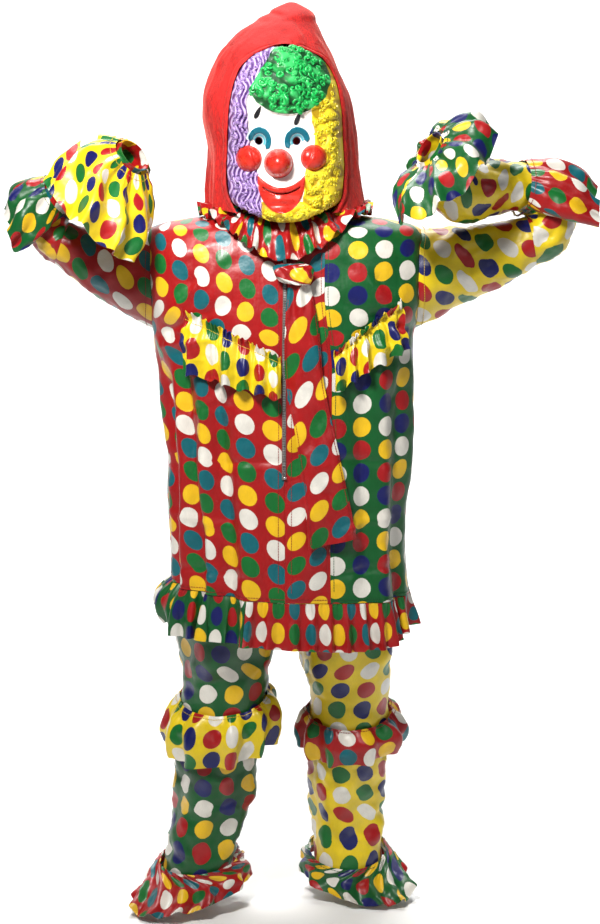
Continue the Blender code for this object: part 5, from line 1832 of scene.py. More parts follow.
@dataclass
class Necktie:
    """Wide flat necktie: its blade with turned edges and its wrapped knot."""

    rows: int = 130
    columns: int = 34
    knot_rows: int = 44
    knot_around: int = 64

    def blade(self, v: Points, a: Points) -> Points:
        """Front of the blade at heights v and places a, 0 to 1 across it."""
        v, a = paired(v, a)
        row = follow([r.z for r in TIE][::-1], list(TIE)[::-1], v)
        inner, outer, stand = row[..., 1], row[..., 2], row[..., 3]
        x = inner + (outer - inner) * a
        bow = 0.0035 * np.sin(math.pi * a) + 0.0018 * np.sin(3 * math.pi * a + 40 * v)
        bow -= 0.001 * hill(np.minimum(a, 1 - a), 0.05)
        drape = 0.0016 * np.sin(math.pi * a) * np.sin(31 * v + 2.5 * a)
        place = np.stack([x, np.zeros_like(x), v + 0.0 * a], -1)
        drape += 0.0009 * crumple(place, 0.045, 51)
        top = 0.0016 * smooth((v - 0.8) / 0.05) * np.sin(5 * math.pi * a + 0.5)
        low = (0.004 - 0.016 * (1 - a)) * smooth((0.6 - v) / 0.1)
        return front_point(v + low, x, LAP + 0.003 + stand + bow + drape + top)

    def grain(self, points: Points) -> tuple[Points, Points]:
        """Place on the cloth, cut on the bias and pulled long under the knot."""
        x, z = points[..., 0], points[..., 2]
        wide, fall = x - 0.0253, 0.726 - z
        high = (0.31 * wide + 0.83 * fall, -1.22 * wide - 0.25 * fall)
        wide, fall = x - 0.0457, 0.6093 - z
        low = (3 * DOT_ACROSS + 0.48 * wide + fall, -DOT_DOWN - 1.076 * wide)
        share = smooth((z - 0.665) / 0.045)
        return tuple(a * share + b * (1 - share) for a, b in zip(high, low))

    def build(self) -> list[Object]:
        """Make and dress blade and knot."""
        v = np.linspace(TIE[0].z, TIE[-1].z, self.rows)[:, None]
        a = np.linspace(0, 1, self.columns)[None]
        points = self.blade(v, a)
        blade = sew(Shell("necktie_blade_cloth", points, toward=FORWARD, thickness=TIE_WALL,
                          lay=Lay(shift=(0.5, 0.5)), measured=self.grain(points)),
                    Satin.RED, (0.075, 0.36), area=0.0185,
                    rests_on=["tunic_placket_left_cloth"])
        around = circle(self.knot_around)
        rows = np.linspace(0, len(KNOT) - 1, self.knot_rows)[:, None]
        wrap_folds = 0.0016 * np.sin(7 * around + 3.0 * rows)
        wrap_folds += 0.0012 * np.sin(3 * around - rows)
        wrap_folds -= 0.0012 * np.abs(np.sin(5 * around - 2.2 * rows))
        points = put_ring(section_at(KNOT, rows + 0 * around), around,
                          wrap_folds * between_ends(KNOT, rows, 1.4, 1.4))
        knot = closed_form("necktie_knot_cloth", points, Satin.RED.value.material(),
                           Lay(x=0.018, z=0.886, colour=2, slope=20.0))
        dress(knot, "satin_red", "necktie_knot")
        return [blade, knot]


def closed_form(name: str, points: Points, finish: Material,
                lay: Lay) -> Object:
    """Filled form through closed rows of points, with fans at both ends.

    Args:
        name: Piece's name.
        points: Rows of points round the form.
        finish: Its material.
        lay: How the print lies on it.

    Returns:
        The object.
    """
    quads, corners = Shell(name, points, closed=True, lay=lay).quads()
    rows, columns = points.shape[:2]
    places = np.vstack([points.reshape(-1, 3), points[0].mean(0), points[-1].mean(0)]) - BASE
    faces = quads.tolist()
    maps = corners.reshape(-1, 2).tolist()
    top = (rows - 1) * columns
    for c in range(columns):
        d = (c + 1) % columns
        faces += [[d, c, rows * columns], [top + c, top + d, rows * columns + 1]]
    middle = corners.reshape(-1, 2).mean(0).tolist()
    maps += [middle] * (6 * columns)
    mesh = bpy.data.meshes.new(name)
    mesh.from_pydata(places.tolist(), [], faces)
    layer = mesh.uv_layers.new(name="cloth")
    layer.data.foreach_set("uv", np.array(maps, np.float32).ravel())
    mesh.materials.append(finish)
    mesh.polygons.foreach_set("use_smooth", np.ones(len(mesh.polygons), bool))
    mesh.update()
    form = bmesh.new()
    form.from_mesh(mesh)
    bmesh.ops.recalc_face_normals(form, faces=form.faces)
    form.to_mesh(mesh)
    form.free()
    return put_object(name, mesh)


@dataclass
class FrontZip:
    """Tape, two rows of teeth, a stop and a slider.

    Attributes:
        top, low: Heights of its ends.
        half: Half width of the tape.
        lift: Height of the tape's face over the cloth.
        pitch: From one tooth to the next.
        tooth: Length down the zip, width and height of a tooth.
        aside: From the middle to the middle of a row of teeth.
    """

    top: float = 0.906
    low: float = 0.612
    half: float = 0.0026
    lift: float = 0.0016
    pitch: float = 0.0022
    tooth: tuple[float, float, float] = (0.0011, 0.0021, 0.0009)
    aside: float = 0.00055

    def build(self) -> list[Object]:
        """Make and dress every part of the zip."""
        # the tape is painted dark grey-red, standing in for the shade beside the teeth
        tape_painted_dark_as_shade = Plain("zip_tape_finish", (0.15, 0.11, 0.1), 0.62, grain=1500.0)
        metal = Plain("zip_metal_finish", (0.86, 0.86, 0.85), 0.3, 1.0, 700.0, 0.00004)
        z = np.linspace(self.top, self.low, 120)[:, None]
        x = np.linspace(-self.half, self.half, 9)[None] - self.lean(z)
        lift = self.lift + 0.0003 * np.abs(x) / self.half + 0.0 * z
        tape = Shell("zip_tape_woven", front_point(z, x, lift), toward=FORWARD,
                     thickness=TAPE_WALL).build(tape_painted_dark_as_shade.material())
        dress(tape, "zip_tape", "zip_tape")
        declare(tape, (0.01, 0.294), "hung", area=0.0017,
                rests_on=["tunic_placket_left_cloth"])
        teeth = Along("zip_teeth_row", self.pitch, self.tooth, metal.material())
        made = [tape]
        for name, top, side in (("zip_teeth", self.top, -1),
                                ("zip_teeth_other", self.top - 0.0008, 1)):
            z = np.linspace(top, self.low + 0.004, 160)
            points, way = self.line(z, self.aside * side, self.lift + 0.0006)
            skip = 0 if side < 0 else 3
            made.append(dress(teeth.run(name, [(points[skip:], way[skip:])]), "zip_metal"))
        stop = self.block("zip_stop", self.low + 0.0025, 0.0021, 0.003, metal.material())
        slider = self.slider(metal.material())
        return made + [dress(stop, "zip_metal"), dress(slider, "zip_metal", "zip_slider")]

    def lean(self, z: Points) -> Points:
        """How far the zip runs to the wearer's right at heights z."""
        return 0.0012 * smooth((0.86 - z) / 0.1)

    def line(self, z: Points, x: float, lift: float) -> tuple[Points, Points]:
        """Path down the front at x, with the way out of the cloth."""
        x = x - self.lean(z)
        points = front_point(z, x, lift + 0 * z)
        deeper = front_point(z, x, lift - 0.001 + 0 * z)
        way = (points - deeper) / 0.001
        return points, way

    def block(self, name: str, z: float, half: float, tall: float,
              finish: Material) -> Object:
        """Small rounded block on the zip."""
        base = front_point(np.array(z), np.array(0.0), np.array(self.lift))
        rings = [Ring(z=z + k * tall / 2, wide=half * w, deep=0.0013 * w, x=float(base[0]),
                      y=float(base[1]) - 0.0008, square=4.0)
                 for k, w in ((-1.0, 0.55), (-0.9, 0.85), (-0.6, 1.0), (0.6, 1.0),
                              (0.9, 0.85), (1.0, 0.55))]
        a = circle(20)
        points = put_ring(section_at(rings, np.arange(len(rings))[:, None] + 0 * a), a)
        return closed_form(name, points, finish, Lay())

    def slider(self, finish: Material) -> Object:
        """Wedge-shaped slider body with its bridge and pull."""
        parts = []
        for name, z, half, tall, forward in (("body", 0.911, 0.0042, 0.0085, 0.0),
                                             ("bridge", 0.9118, 0.0013, 0.006, 0.0016),
                                             ("pull", 0.903, 0.002, 0.012, 0.0022)):
            part = self.block("zip_slider_" + name, z, half, tall, finish)
            part.data.transform(Matrix.Translation((0.0, -forward, 0.0)))
            parts.append(part)
        return join(parts, "zip_slider_metal", finish)


def join(items: list[Object], name: str,
         paint: Material) -> Object:
    """Join mesh objects into one of one material.

    Args:
        items: Objects at the origin.
        name: Name of the joined piece.
        paint: Its material.

    Returns:
        The first object with all the meshes.
    """
    form = bmesh.new()
    for item in items:
        form.from_mesh(item.data)
    for face in form.faces:
        face.material_index = 0
    mesh = bpy.data.meshes.new(name)
    form.to_mesh(mesh)
    form.free()
    mesh.materials.append(paint)
    for item in items[1:]:
        bpy.data.objects.remove(item, do_unlink=True)
    old = items[0].data
    items[0].data = mesh
    items[0].name = name
    bpy.data.meshes.remove(old)
    return items[0]


# ---------------------------------------------------------------- trousers
@dataclass
class Trousers:
    """Both legs, each with an upper and a lower part."""

    around: int = 64
    rows: int = 96
    low_rows: int = 80

    def angles(self, rings: Sequence[Ring], v: Points, share: Points, side: int) -> Points:
        """Angles of an upper part: open at the rise, closed from the crotch down."""
        section = section_at(rings, v)
        part = (HALF_SEAM - side * section[..., 3]) / section[..., 1]
        angle = np.arccos(np.clip(part, -1, 1)) * share
        return angle if side > 0 else math.pi - angle

    def build(self) -> list[Object]:
        """Make and dress the four parts."""
        made = []
        for side, word, upper, lower, satin, mark in (
                (1, "left", TROUSER_LEFT, SHIN_LEFT, Satin.YELLOW, 61),
                (-1, "right", TROUSER_RIGHT, SHIN_RIGHT, Satin.GREEN, 71)):
            share = np.linspace(-1, 1, self.around + 1)[None]
            v = np.linspace(0, len(upper) - 1, self.rows)[:, None] + 0 * share
            a = self.angles(upper, v, share, side)
            keep = smooth(v - 2.2) * smooth((len(upper) - 1 - v) / 0.8)
            points = blend(tube_shape(upper, 4, 0.3 * side),
                           tube_shape(upper, 4, 0.3 * side, 0.0026, mark, 0.065), v, a, keep)
            shell = Shell(f"trouser_upper_{word}_cloth", points, lay=Lay(shift=(0.4, 0.2)),
                          datum=self.around // 2, weld_from=int(np.argmax(v[:, 0] >= 3.0)))
            made.append(sew(shell, satin, (0.46, 0.34), area=0.146))
            a = math.pi / 2 + circle(self.around)
            v = np.linspace(0, len(lower) - 1, self.low_rows)[:, None]
            points = blend(tube_shape(lower, 4, 1.2),
                           tube_shape(lower, 4, 1.2, 0.0034, mark + 5, 0.055), v, a,
                           between_ends(lower, v, 0.7, 0.6))
            shell = Shell(f"trouser_lower_{word}_cloth", points, closed=True,
                          lay=Lay(shift=(0.1, 0.5)))
            made.append(sew(shell, satin, (0.36, 0.24), area=0.067 if side > 0 else 0.075))
        return made


# ---------------------------------------------------------------- hood
HOOD_HEIGHTS = [ring.z for ring in HOOD]
FACE_HEIGHTS = [row.z for row in FACE]
FACE_TOP = 1.185
FACE_MIDDLE = 0.001       # x of the middle of the face opening
HOOD_EDGE_ANGLES = (0.0, 0.8, 1.3, 1.7, 2.3, 3.2)
HOOD_EDGE = ((0.9644,), (0.9653,), (0.9728,), (0.9734,), (0.9668,), (0.96,))


def hood_section(z: Points) -> Points:
    """Section of the hood at heights z."""
    return follow(HOOD_HEIGHTS, HOOD, z)


def hood_middle(z: Points) -> Points:
    """Place in x of the line where the hood's halves meet."""
    peak = hood_section(z)[..., 3]
    return FACE_MIDDLE + (peak - FACE_MIDDLE) * smooth((z - FACE_TOP) / 0.03)


def opening_half(z: Points) -> Points:
    """Half width of the face opening at heights z."""
    half = follow(FACE_HEIGHTS, FACE, np.clip(z, FACE[1].z, FACE[-1].z))[..., 1]
    closing = np.clip((FACE_TOP - z) / (FACE_TOP - FACE[-1].z), 0, 1)
    return np.where(z > FACE[-1].z, half * np.sqrt(closing), half)


def opening_angle(z: Points, side: int, half: Points | None = None) -> Points:
    """Angle from the middle of the hood's front to one edge of the face opening."""
    section = hood_section(z)
    half = opening_half(z) if half is None else half
    x = hood_middle(z) + side * half - section[..., 3]
    return np.arcsin(np.clip(x / section[..., 1], -1, 1))


@dataclass
class Hood:
    """Plush hood round the mask, with a soft roll at the face and a seam behind."""

    columns: int = 170
    edge_rows: int = 12

    def shape(self, z: Points, a: Points, roll: Points) -> Points:
        """Hood at heights z, angles a and distances roll from the face opening."""
        section = hood_section(z)
        wrapped = wrap(a)
        away = smooth((np.abs(wrapped) - 0.9) / 0.5)
        low = smooth((1.07 - z) / 0.1)
        push = 0.0035 * low * np.sin(11 * a + 0.7) * away
        push += 0.0018 * low * np.sin(23 * a + 2.0) * away
        flat = put_ring(section, a - math.pi / 2)
        push += 0.0036 * crumple(flat, 0.08, 81, (1.0, 1.0, 2.0))
        push += 0.0011 * crumple(flat, 0.026, 82, (1.0, 1.0, 1.6), 2)
        push += 0.002 * hill(roll - 0.0045, 0.0035)
        push -= 0.0014 * hill(roll - 0.011, 0.0025)
        seam = np.abs(np.abs(wrapped) - math.pi) * section[..., 1]
        push -= 0.0016 * hill(seam, 0.0022)
        push = push * (1 - 0.75 * smooth((z - 1.2) / 0.035))
        tip = hill((z - 1.2215) + 0.2 * (flat[..., 0] - 0.004), 0.0045)
        left = smooth((0.006 - flat[..., 0]) / 0.016)
        push = push - 0.0055 * tip * left + 0.0035 * smooth((z - 1.214) / 0.01)
        return put_ring(section, a - math.pi / 2, push)

    def grid(self) -> tuple[Points, Points]:
        """Heights and angles, from the lower edge to the peak."""
        heights = np.concatenate([np.linspace(0.962, 1.15, 74), np.linspace(1.15, 1.1853, 26),
                                  np.linspace(1.1853, 1.24, 30)])
        heights = np.unique(np.round(heights, 6))
        share = np.linspace(0, 1, self.columns + 1)
        z = np.repeat(heights[:, None], len(share), axis=1)
        for _ in range(4):
            start = opening_angle(z[:, 0], 1)
            end = TAU + opening_angle(z[:, -1], -1)
            a = start[:, None] + (end - start)[:, None] * share
            edge = follow(HOOD_EDGE_ANGLES, HOOD_EDGE, np.abs(wrap(a[0])))[:, 0]
            part = np.linspace(0, 1, self.edge_rows + 1)[:-1, None]
            z[:self.edge_rows] = edge + (z[self.edge_rows] - edge) * part
        return z, a

    def build(self) -> list[Object]:
        """Make and dress the hood with its crown closed."""
        z, a = self.grid()
        wide = hood_section(z)[..., 1]
        roll = np.minimum(a - a[:, :1], a[:, -1:] - a) * wide
        roll = roll + 10.0 * (z > FACE_TOP + 0.004)
        points = self.shape(z, a, roll)
        peak = points[-1].mean(axis=0)
        caps = []
        for share, lift in ((0.72, 0.001), (0.4, 0.0018), (0.02, 0.0021)):
            caps.append(peak + (points[-1] - peak) * share + np.array([0, 0, lift]))
        points = np.concatenate([points, np.array(caps)])
        shell = Shell("hood_plush", points, thickness=PLUSH_WALL, datum=self.columns // 2,
                      weld_from=int(np.argmax(z[:, 0] >= FACE_TOP)))
        # pile colours: painted shade in the pile's depths, painted light at its tips
        finish = Plush("plush_red_finish", (0.34, 0.003, 0.003), (0.72, 0.012, 0.008))
        item = shell.build(finish.material())
        dress(item, "plush_red", "hood_left", "hood_right")
        declare(item, (0.62, 0.3), "hung", area=0.15)
        return [item]


# ---------------------------------------------------------------- mask
WHITE_EDGES = (             # height, left and right edge of the face's pale part
    (1.17, -0.006, 0.037), (1.1326, -0.038, 0.0363), (1.115, -0.049, 0.0355),
    (1.0925, -0.0482, 0.0347),
    (1.0645, -0.0462, 0.0393), (1.0444, -0.0438, 0.0373), (1.0184, -0.0358, 0.0267),
    (1.0004, -0.0328, 0.0259), (0.9843, -0.031, 0.024), (0.95, -0.03, 0.023),
)
EYE_HOLE = 0.0043              # radius of an eye hole
WHORL_X, WHORL_Z = -0.0116, 1.1525   # dent in the green hair
MOUTH_X = -0.0043              # middle of the mouth
MASK_WALL = 0.0018             # thickness of the mask


@dataclass(frozen=True)
class Arch:
    """Painted arch over an eye: middle, half sizes and the angles where it ends."""

    x: float
    z: float
    wide: float
    high: float
    low: float
    end: float


ARCHES = (Arch(-0.033, 1.0588, 0.015, 0.0178, -38.0, 168.0),
          Arch(0.0165, 1.0585, 0.0162, 0.0182, 8.0, 208.0))
BROWS = ((-0.0348, 1.0961, 26.0), (0.0169, 1.088, 20.0))


@dataclass
class Mask:
    """Moulded clown mask: painted shell with curled hair in three colours."""

    rows: int = 224
    columns: int = 154

    def fields(self, x: Points, z: Points) -> dict[str, Points]:
        """Signed distances in millimetres of every painted part, above 0 inside.

        Args:
            x: Places across the mask.
            z: Heights above the floor.

        Returns:
            One array for each part.
        """
        wobble = 0.0012 * crumple(np.stack([x, 0 * x, z], -1), 0.018, 91, octaves=2)
        green = (1 - np.hypot((x - 0.0053) / 0.055, (z - 1.1385) / 0.0445)) * 0.045
        green = np.minimum(green, x + 0.041 + 0.6 * np.clip(1.135 - z, -0.06, 0.03))
        edges = follow([-row[0] for row in WHITE_EDGES], WHITE_EDGES, -z)
        white = np.minimum(np.minimum(x - edges[..., 1], edges[..., 2] - x), z - 0.98)
        arch = rim = lid = hole = brow = balls = np.full_like(x, -1.0)
        for (ex, ez), eye in zip(EYES, ARCHES):
            far = np.hypot((x - eye.x) / eye.wide, (z - eye.z) / eye.high)
            turn = np.degrees(np.arctan2(z - eye.z, x - eye.x))
            turn = np.where(turn < eye.low - 60, turn + 360, turn)
            inside = np.minimum(turn - eye.low, eye.end - turn) * 0.00022
            arch = np.maximum(arch, (0.235 - np.abs(far - 0.8)) * 0.0165
                              + np.minimum(inside - 0.0006, 0))
            rim = np.maximum(rim, np.minimum((1.17 - far) * 0.0165, inside + 0.0012))
            lid = np.maximum(lid, (0.1 - np.abs(far - 0.45)) * 0.0165
                             + np.minimum(inside, 0))
            # dark paint reaches 1.2 mm past each eye hole's cut edge, as painted shade of the hole
            hole = np.maximum(hole, EYE_HOLE + 0.0012 - np.hypot(x - ex, z - ez))
        for bx, bz, lean in BROWS:
            c, s = math.cos(math.radians(lean)), math.sin(math.radians(lean))
            u, w = (x - bx) * c - (z - bz) * s, (x - bx) * s + (z - bz) * c
            taper = 0.0031 * (1 + 0.35 * np.clip(-w / 0.008, -1, 1))
            brow = np.maximum(brow, (1 - np.hypot(u / taper, w / 0.0092)) * 0.0031)
        for bump in BUMPS:
            if bump.ball:
                balls = np.maximum(balls, (1 - bump.away(x, z)) * 0.016 + 0.0006)
        part = (x - MOUTH_X) / 0.03
        smile = 0.9986 + 0.015 * part**2
        bowl = (1 - np.hypot(part, (z - 1.0084) / 0.0415)) * 0.03
        # line between the lips: a groove in the relief, painted darker red as its shade
        mouth = np.minimum(bowl + 0.0012, smile - z)
        between = 0.001 - np.abs(z - (0.9905 + 0.0125 * part**2))
        between = np.minimum(between, 0.0245 - np.abs(x - MOUTH_X))
        made = {"green": green + wobble, "white": white + wobble * 0.5, "arch": arch,
                "rim": rim, "lid": lid, "hole": hole, "brow": brow, "ball": balls,
                "mouth": mouth, "between": between,
                "purple": -0.03 - x + 0.5 * np.clip(z - 1.13, 0, 0.05) + wobble}
        return {key: value * 1000 for key, value in made.items()}

    def relief(self, x: Points, z: Points, f: dict[str, Points]) -> tuple[Points, Points]:
        """Height of the moulded forms, and how high the hair's curls are, 0 to 1."""
        rise = np.zeros_like(x)
        for bump in BUMPS:
            far = bump.away(x, z)
            if bump.ball:
                rise += bump.rise * np.clip(1 - far**2, 0, 1) ** 0.6
            else:
                rise += bump.rise * np.exp(-1.6 * far**2)
        face = smooth(f["white"] / 2.5 + 0.5) * smooth(-f["green"] / 2.0 + 0.5)
        hair = 1 - face
        place = np.stack([x, 0 * x, z], -1)
        curls = np.sin(6.0 * crumple(place, 0.046, 93, octaves=2))
        waves = np.sin(TAU * (x + 0.003 * np.sin(z * 190 + 40 * x)
                              + 0.002 * crumple(place, 0.03, 94)) / 0.0062)
        strand = smooth(f["purple"] / 4 + 0.5) * smooth(-f["green"] / 3 + 0.5)
        height = curls * (1 - strand) + waves * strand
        height = height * (1 - smooth(f["ball"] / 2 + 0.5))
        mouth = smooth(f["mouth"] / 2.0 + 0.3)
        rise += hair * (0.003 + 0.0019 * height) * (1 - mouth)
        rise -= 0.006 * hill(np.hypot(x - WHORL_X, z - WHORL_Z), 0.0075)
        rise += 0.0022 * hill(f["green"], 1.6) * face
        rise = rise + 0.0035 * mouth - 0.003 * smooth(f["between"] / 1.0 + 0.6) * mouth
        rise += 0.0016 * smooth(f["arch"] / 0.8 + 0.5)
        rise += 0.0008 * smooth(f["brow"] / 0.8 + 0.5)
        rise += 0.001 * smooth(f["lid"] / 0.8 + 0.5)
        return rise, 0.5 + 0.5 * height

    def build(self) -> list[Object]:
        """Make and dress the shell and its curls."""
        share = np.linspace(-1, 1, self.columns)[None]
        z = np.linspace(FACE[0].z, FACE[-1].z, self.rows)[:, None] + 0 * share
        _, half, bulge = np.moveaxis(follow(FACE_HEIGHTS, FACE, z), -1, 0)
        x = FACE_MIDDLE + (half - 0.0014) * share
        for ex, ez in EYES:
            far = np.hypot(x - ex, z - ez)
            near = np.abs(far - EYE_HOLE) < 0.00052
            scale = np.where(near, EYE_HOLE / np.maximum(far, 1e-6), 1.0)
            x, z = ex + (x - ex) * scale, ez + (z - ez) * scale
        section = hood_section(z)
        left, right = (put_ring(section, opening_angle(z, side, half) - math.pi / 2)[..., 1]
                       for side in (1, -1))
        inside = np.clip(1 - np.abs(share) ** 2.2, 0, 1)
        rim = left * (1 + share) / 2 + right * (1 - share) / 2
        f = self.fields(x, z)
        rise, curl = self.relief(x, z, f)
        y = rim - SEAM - 0.0012 - bulge * inside**0.8 - rise * smooth(inside / 0.25)
        low = 1 - smooth((z - FACE[0].z) / 0.03)
        z = z + 0.011 * low * np.abs(share) ** 2.2
        y = y + 0.006 * low * np.abs(share) ** 2.2
        points = np.stack([x, y, z], -1)
        cx, cz = ((p[:-1, :-1] + p[1:, 1:] + p[1:, :-1] + p[:-1, 1:]) / 4 for p in (x, z))
        skip = np.zeros(cx.shape, bool)
        for ex, ez in EYES:
            skip |= np.hypot(cx - ex, cz - ez) < EYE_HOLE
        shell = Shell("mask_shell_painted", points, toward=FORWARD, thickness=MASK_WALL,
                      skip=skip)
        item = shell.build(MaskPaint("mask_paint").material())
        # the curls' height goes to the paint, which shades and lights the hair by it
        self.write_fields(item, {**f, "curl": curl}, skip)
        dress(item, "mask_shell", "mask")
        return [item] + self.curls(points, f, shell.normals())

    def write_fields(self, item: Object, f: dict[str, Points], skip: Points) -> None:
        """Store every painted part's distance on the mesh, at the corners in use."""
        used = np.zeros((self.rows, self.columns), bool)
        r, c = np.nonzero(~skip)
        for down, along in ((0, 0), (0, 1), (1, 0), (1, 1)):
            used[r + down, c + along] = True
        for key, values in f.items():
            layer = item.data.attributes.new(key, "FLOAT", "POINT")
            layer.data.foreach_set("value", np.tile(values[used], 2).astype(np.float32))

    def curls(self, points: Points, f: dict[str, Points],
              normals: Points) -> list[Object]:
        """Raised curls over the green, yellow and purple hair."""
        sign = 1.0 if (normals[..., 1].sum() < 0) else -1.0
        base = points + normals * sign * 0.0002
        made = []
        clear = (f["ball"] < -1.5) & (f["mouth"] < -2.5)
        sides = (f["green"] < -3.0) & (f["white"] < -2.5) & clear
        dimple = np.hypot(points[..., 0] - WHORL_X, points[..., 2] - WHORL_Z) < 0.008
        for hair, part, density, size, colour in (
                ("green", (f["green"] > 3.0) & clear & ~dimple, 16000.0, 1.75,
                 (0.01, 0.48, 0.09)),
                ("yellow", sides & (f["purple"] < -2.0), 30000.0, 1.05,
                 (0.9, 0.72, 0.02)),
                ("purple", sides & (f["purple"] > 2.0), 26000.0, 1.05,
                 (0.42, 0.27, 0.6))):
            name = "mask_curls_" + hair
            inner = part[:-1, :-1] & part[1:, 1:] & part[1:, :-1] & part[:-1, 1:]
            inner[:3] = inner[-3:] = False
            inner[:, :5] = inner[:, -5:] = False
            # the curls are painted at half their colour in their fine dips, as shade
            finish = Plain(name + "_finish", colour, 0.42, grain=260.0, depth=0.0002,
                           dip_shade=0.5, coat=0.1)
            made.append(self.scatter(name, base, inner, density, size, finish.material()))
        return made

    def scatter(self, name: str, base: Points, inner: Points, density: float, size: float,
                finish: Material) -> Object:
        """Set small spiral curls at random places of a part of the mask.

        Args:
            name: Piece's name.
            base: Grid of places on the shell.
            inner: Which cells of the grid take curls.
            density: Curls for each square metre.
            size: Size of the curls, 1 is 8 mm across.
            finish: Their material.

        Returns:
            The dressed piece.
        """
        tree = Growth(name + "_tree", "Ground", Density=density, Size=size, Seed=5)
        start = tree.start
        spread = tree.add("GeometryNodeDistributePointsOnFaces", distribute_method="POISSON")
        for key, value in (("Distance Min", 0.0043 * size), ("Mesh", start["Ground"]),
                           ("Density Max", start["Density"]), ("Seed", start["Seed"])):
            tree.set(spread.inputs[key], value)
        spiral = tree.add("GeometryNodeCurveSpiral", {
            "Resolution": 12, "Rotations": 1.2, "Start Radius": 0.001,
            "End Radius": 0.0034, "Height": 0.0016})
        circle_line = tree.add("GeometryNodeCurvePrimitiveCircle", {"Resolution": 7,
                                                                    "Radius": 0.00135})
        tube = tree.add("GeometryNodeCurveToMesh", {
            "Curve": spiral.outputs["Curve"], "Profile Curve": circle_line.outputs["Curve"],
            "Fill Caps": True})
        spin = tree.chance(0.0, TAU, Seed=start["Seed"])
        grown = tree.add("ShaderNodeMath", {0: tree.chance(0.75, 1.25), 1: start["Size"]},
                         operation="MULTIPLY").outputs[0]
        axis = tree.add("FunctionNodeAxisAngleToRotation", {"Axis": (0, 0, 1), "Angle": spin})
        turned = tree.add("FunctionNodeRotateRotation", {
            "Rotation": spread.outputs["Rotation"], "Rotate By": axis.outputs["Rotation"]},
                          rotation_space="LOCAL")
        tree.finish(tree.place(spread.outputs["Points"], tube.outputs["Mesh"],
                               turned.outputs["Rotation"], grown), finish, soft=True)
        rows, columns = base.shape[:2]
        r, c = np.nonzero(inner)
        quads = np.stack([r * columns + c, (r + 1) * columns + c, (r + 1) * columns + c + 1,
                          r * columns + c + 1], -1)
        n = np.cross(base[1, 0] - base[0, 0], base[0, 1] - base[0, 0])
        if n[1] > 0:
            quads = quads[:, ::-1]
        ground = put_mesh(name, base.reshape(-1, 3) - BASE, quads, finish, smooth_it=False)
        item = grow(ground, tree)
        if not item.data.materials:
            item.data.materials.append(finish)
        return dress(item, "mask_shell")


@dataclass(frozen=True)
class MaskPaint:
    """Gloss paint of the mask, laid on by the distances stored on its mesh; its hair is painted
    darker in the curls' hollows as shade and lighter on their tops as highlight.
    """

    name: str

    def material(self) -> Material:
        """Build the node tree and return its material."""
        t = Tree(self.name)

        def part(key: str, soft: float) -> NodeSocket:
            value = t.add("ShaderNodeAttribute", attribute_name=key).outputs["Fac"]
            ragged = t.math("MULTIPLY", t.math("SUBTRACT", t.noise(t.solid, 900.0), 0.5), 0.3)
            return t.add("ShaderNodeMapRange", {"Value": t.math("ADD", value, ragged),
                                                1: -soft, 2: soft}).outputs[0]

        # hair paint follows the curls' height: painted shade in their hollows, painted highlight on
        # their tops
        def hair(*colours: tuple[float, float, float]) -> NodeSocket:
            return t.ramp(curl, list(zip((0.1, 0.5, 0.9), colours)))

        curl = t.add("ShaderNodeAttribute", attribute_name="curl").outputs["Fac"]
        colour = hair((0.44, 0.27, 0.005), (0.82, 0.58, 0.01), (0.92, 0.74, 0.03))
        purple = hair((0.085, 0.035, 0.16), (0.24, 0.13, 0.38), (0.6, 0.46, 0.74))
        green = hair((0.002, 0.06, 0.012), (0.006, 0.22, 0.04), (0.04, 0.48, 0.12))
        white = t.ramp(t.noise(t.solid, 30.0), [(0.3, (0.78, 0.72, 0.68)),
                                                (0.7, (0.88, 0.86, 0.83))])
        red = t.ramp(t.noise(t.solid, 60.0), [(0.3, (0.5, 0.016, 0.01)),
                                              (0.7, (0.66, 0.03, 0.016))])
        for key, soft, paint in (
                ("purple", 0.6, purple), ("white", 0.15, white), ("green", 0.25, green),
                ("rim", 0.2, (0.8, 0.9, 0.9, 1.0)), ("arch", 0.12, (0.004, 0.13, 0.19, 1.0)),
                ("lid", 0.12, (0.11, 0.43, 0.52, 1.0)),
                # hole: painted shade, dark round each eye hole past its cut edge
                ("hole", 0.2, (0.012, 0.02, 0.06, 1.0)),
                ("brow", 0.12, (0.01, 0.01, 0.012, 1.0)), ("mouth", 0.12, red),
                # between: darker red painted in the lips' groove, as its shade
                ("between", 0.35, (0.16, 0.006, 0.006, 1.0)), ("ball", 0.12, red)):
            colour = t.mix(part(key, soft), colour, paint)
        bare = t.math("MAXIMUM", t.math("SUBTRACT", part("white", 0.3), part("green", 0.3)),
                      t.math("MAXIMUM", part("ball", 0.12), part("mouth", 0.12)))
        dull = t.math("SUBTRACT", t.spread(t.noise(t.solid, 120.0), 0.24, 0.36),
                      t.math("MULTIPLY", bare, 0.22))
        return t.shade(Base_Color=colour, Roughness=t.math("ADD", dull, 0.22),
                       Coat_Weight=0.08, Coat_Roughness=0.12,
                       Normal=t.bump(t.noise(t.solid, 320.0), 0.00012, 0.6))


# ---------------------------------------------------------------- sewing
class Row(NamedTuple):
    """A row of stitches: its thread, its path and whether the ends meet."""

    thread: Satin
    path: tuple[Points, Points]
    closed: bool = False


def away_from_body(points: Points) -> Points:
    """Rough outward direction at points of the tunic."""
    return (points - np.array([0.005, 0, 0])) * np.array([1, 1, 0])


def away_from_middle(points: Points) -> Points:
    """Rough outward direction at points of a ring."""
    return points - points.mean(axis=0)


def forward(points: Points) -> Points:
    """Way that the wearer faces, at every point."""
    return FORWARD + 0 * points


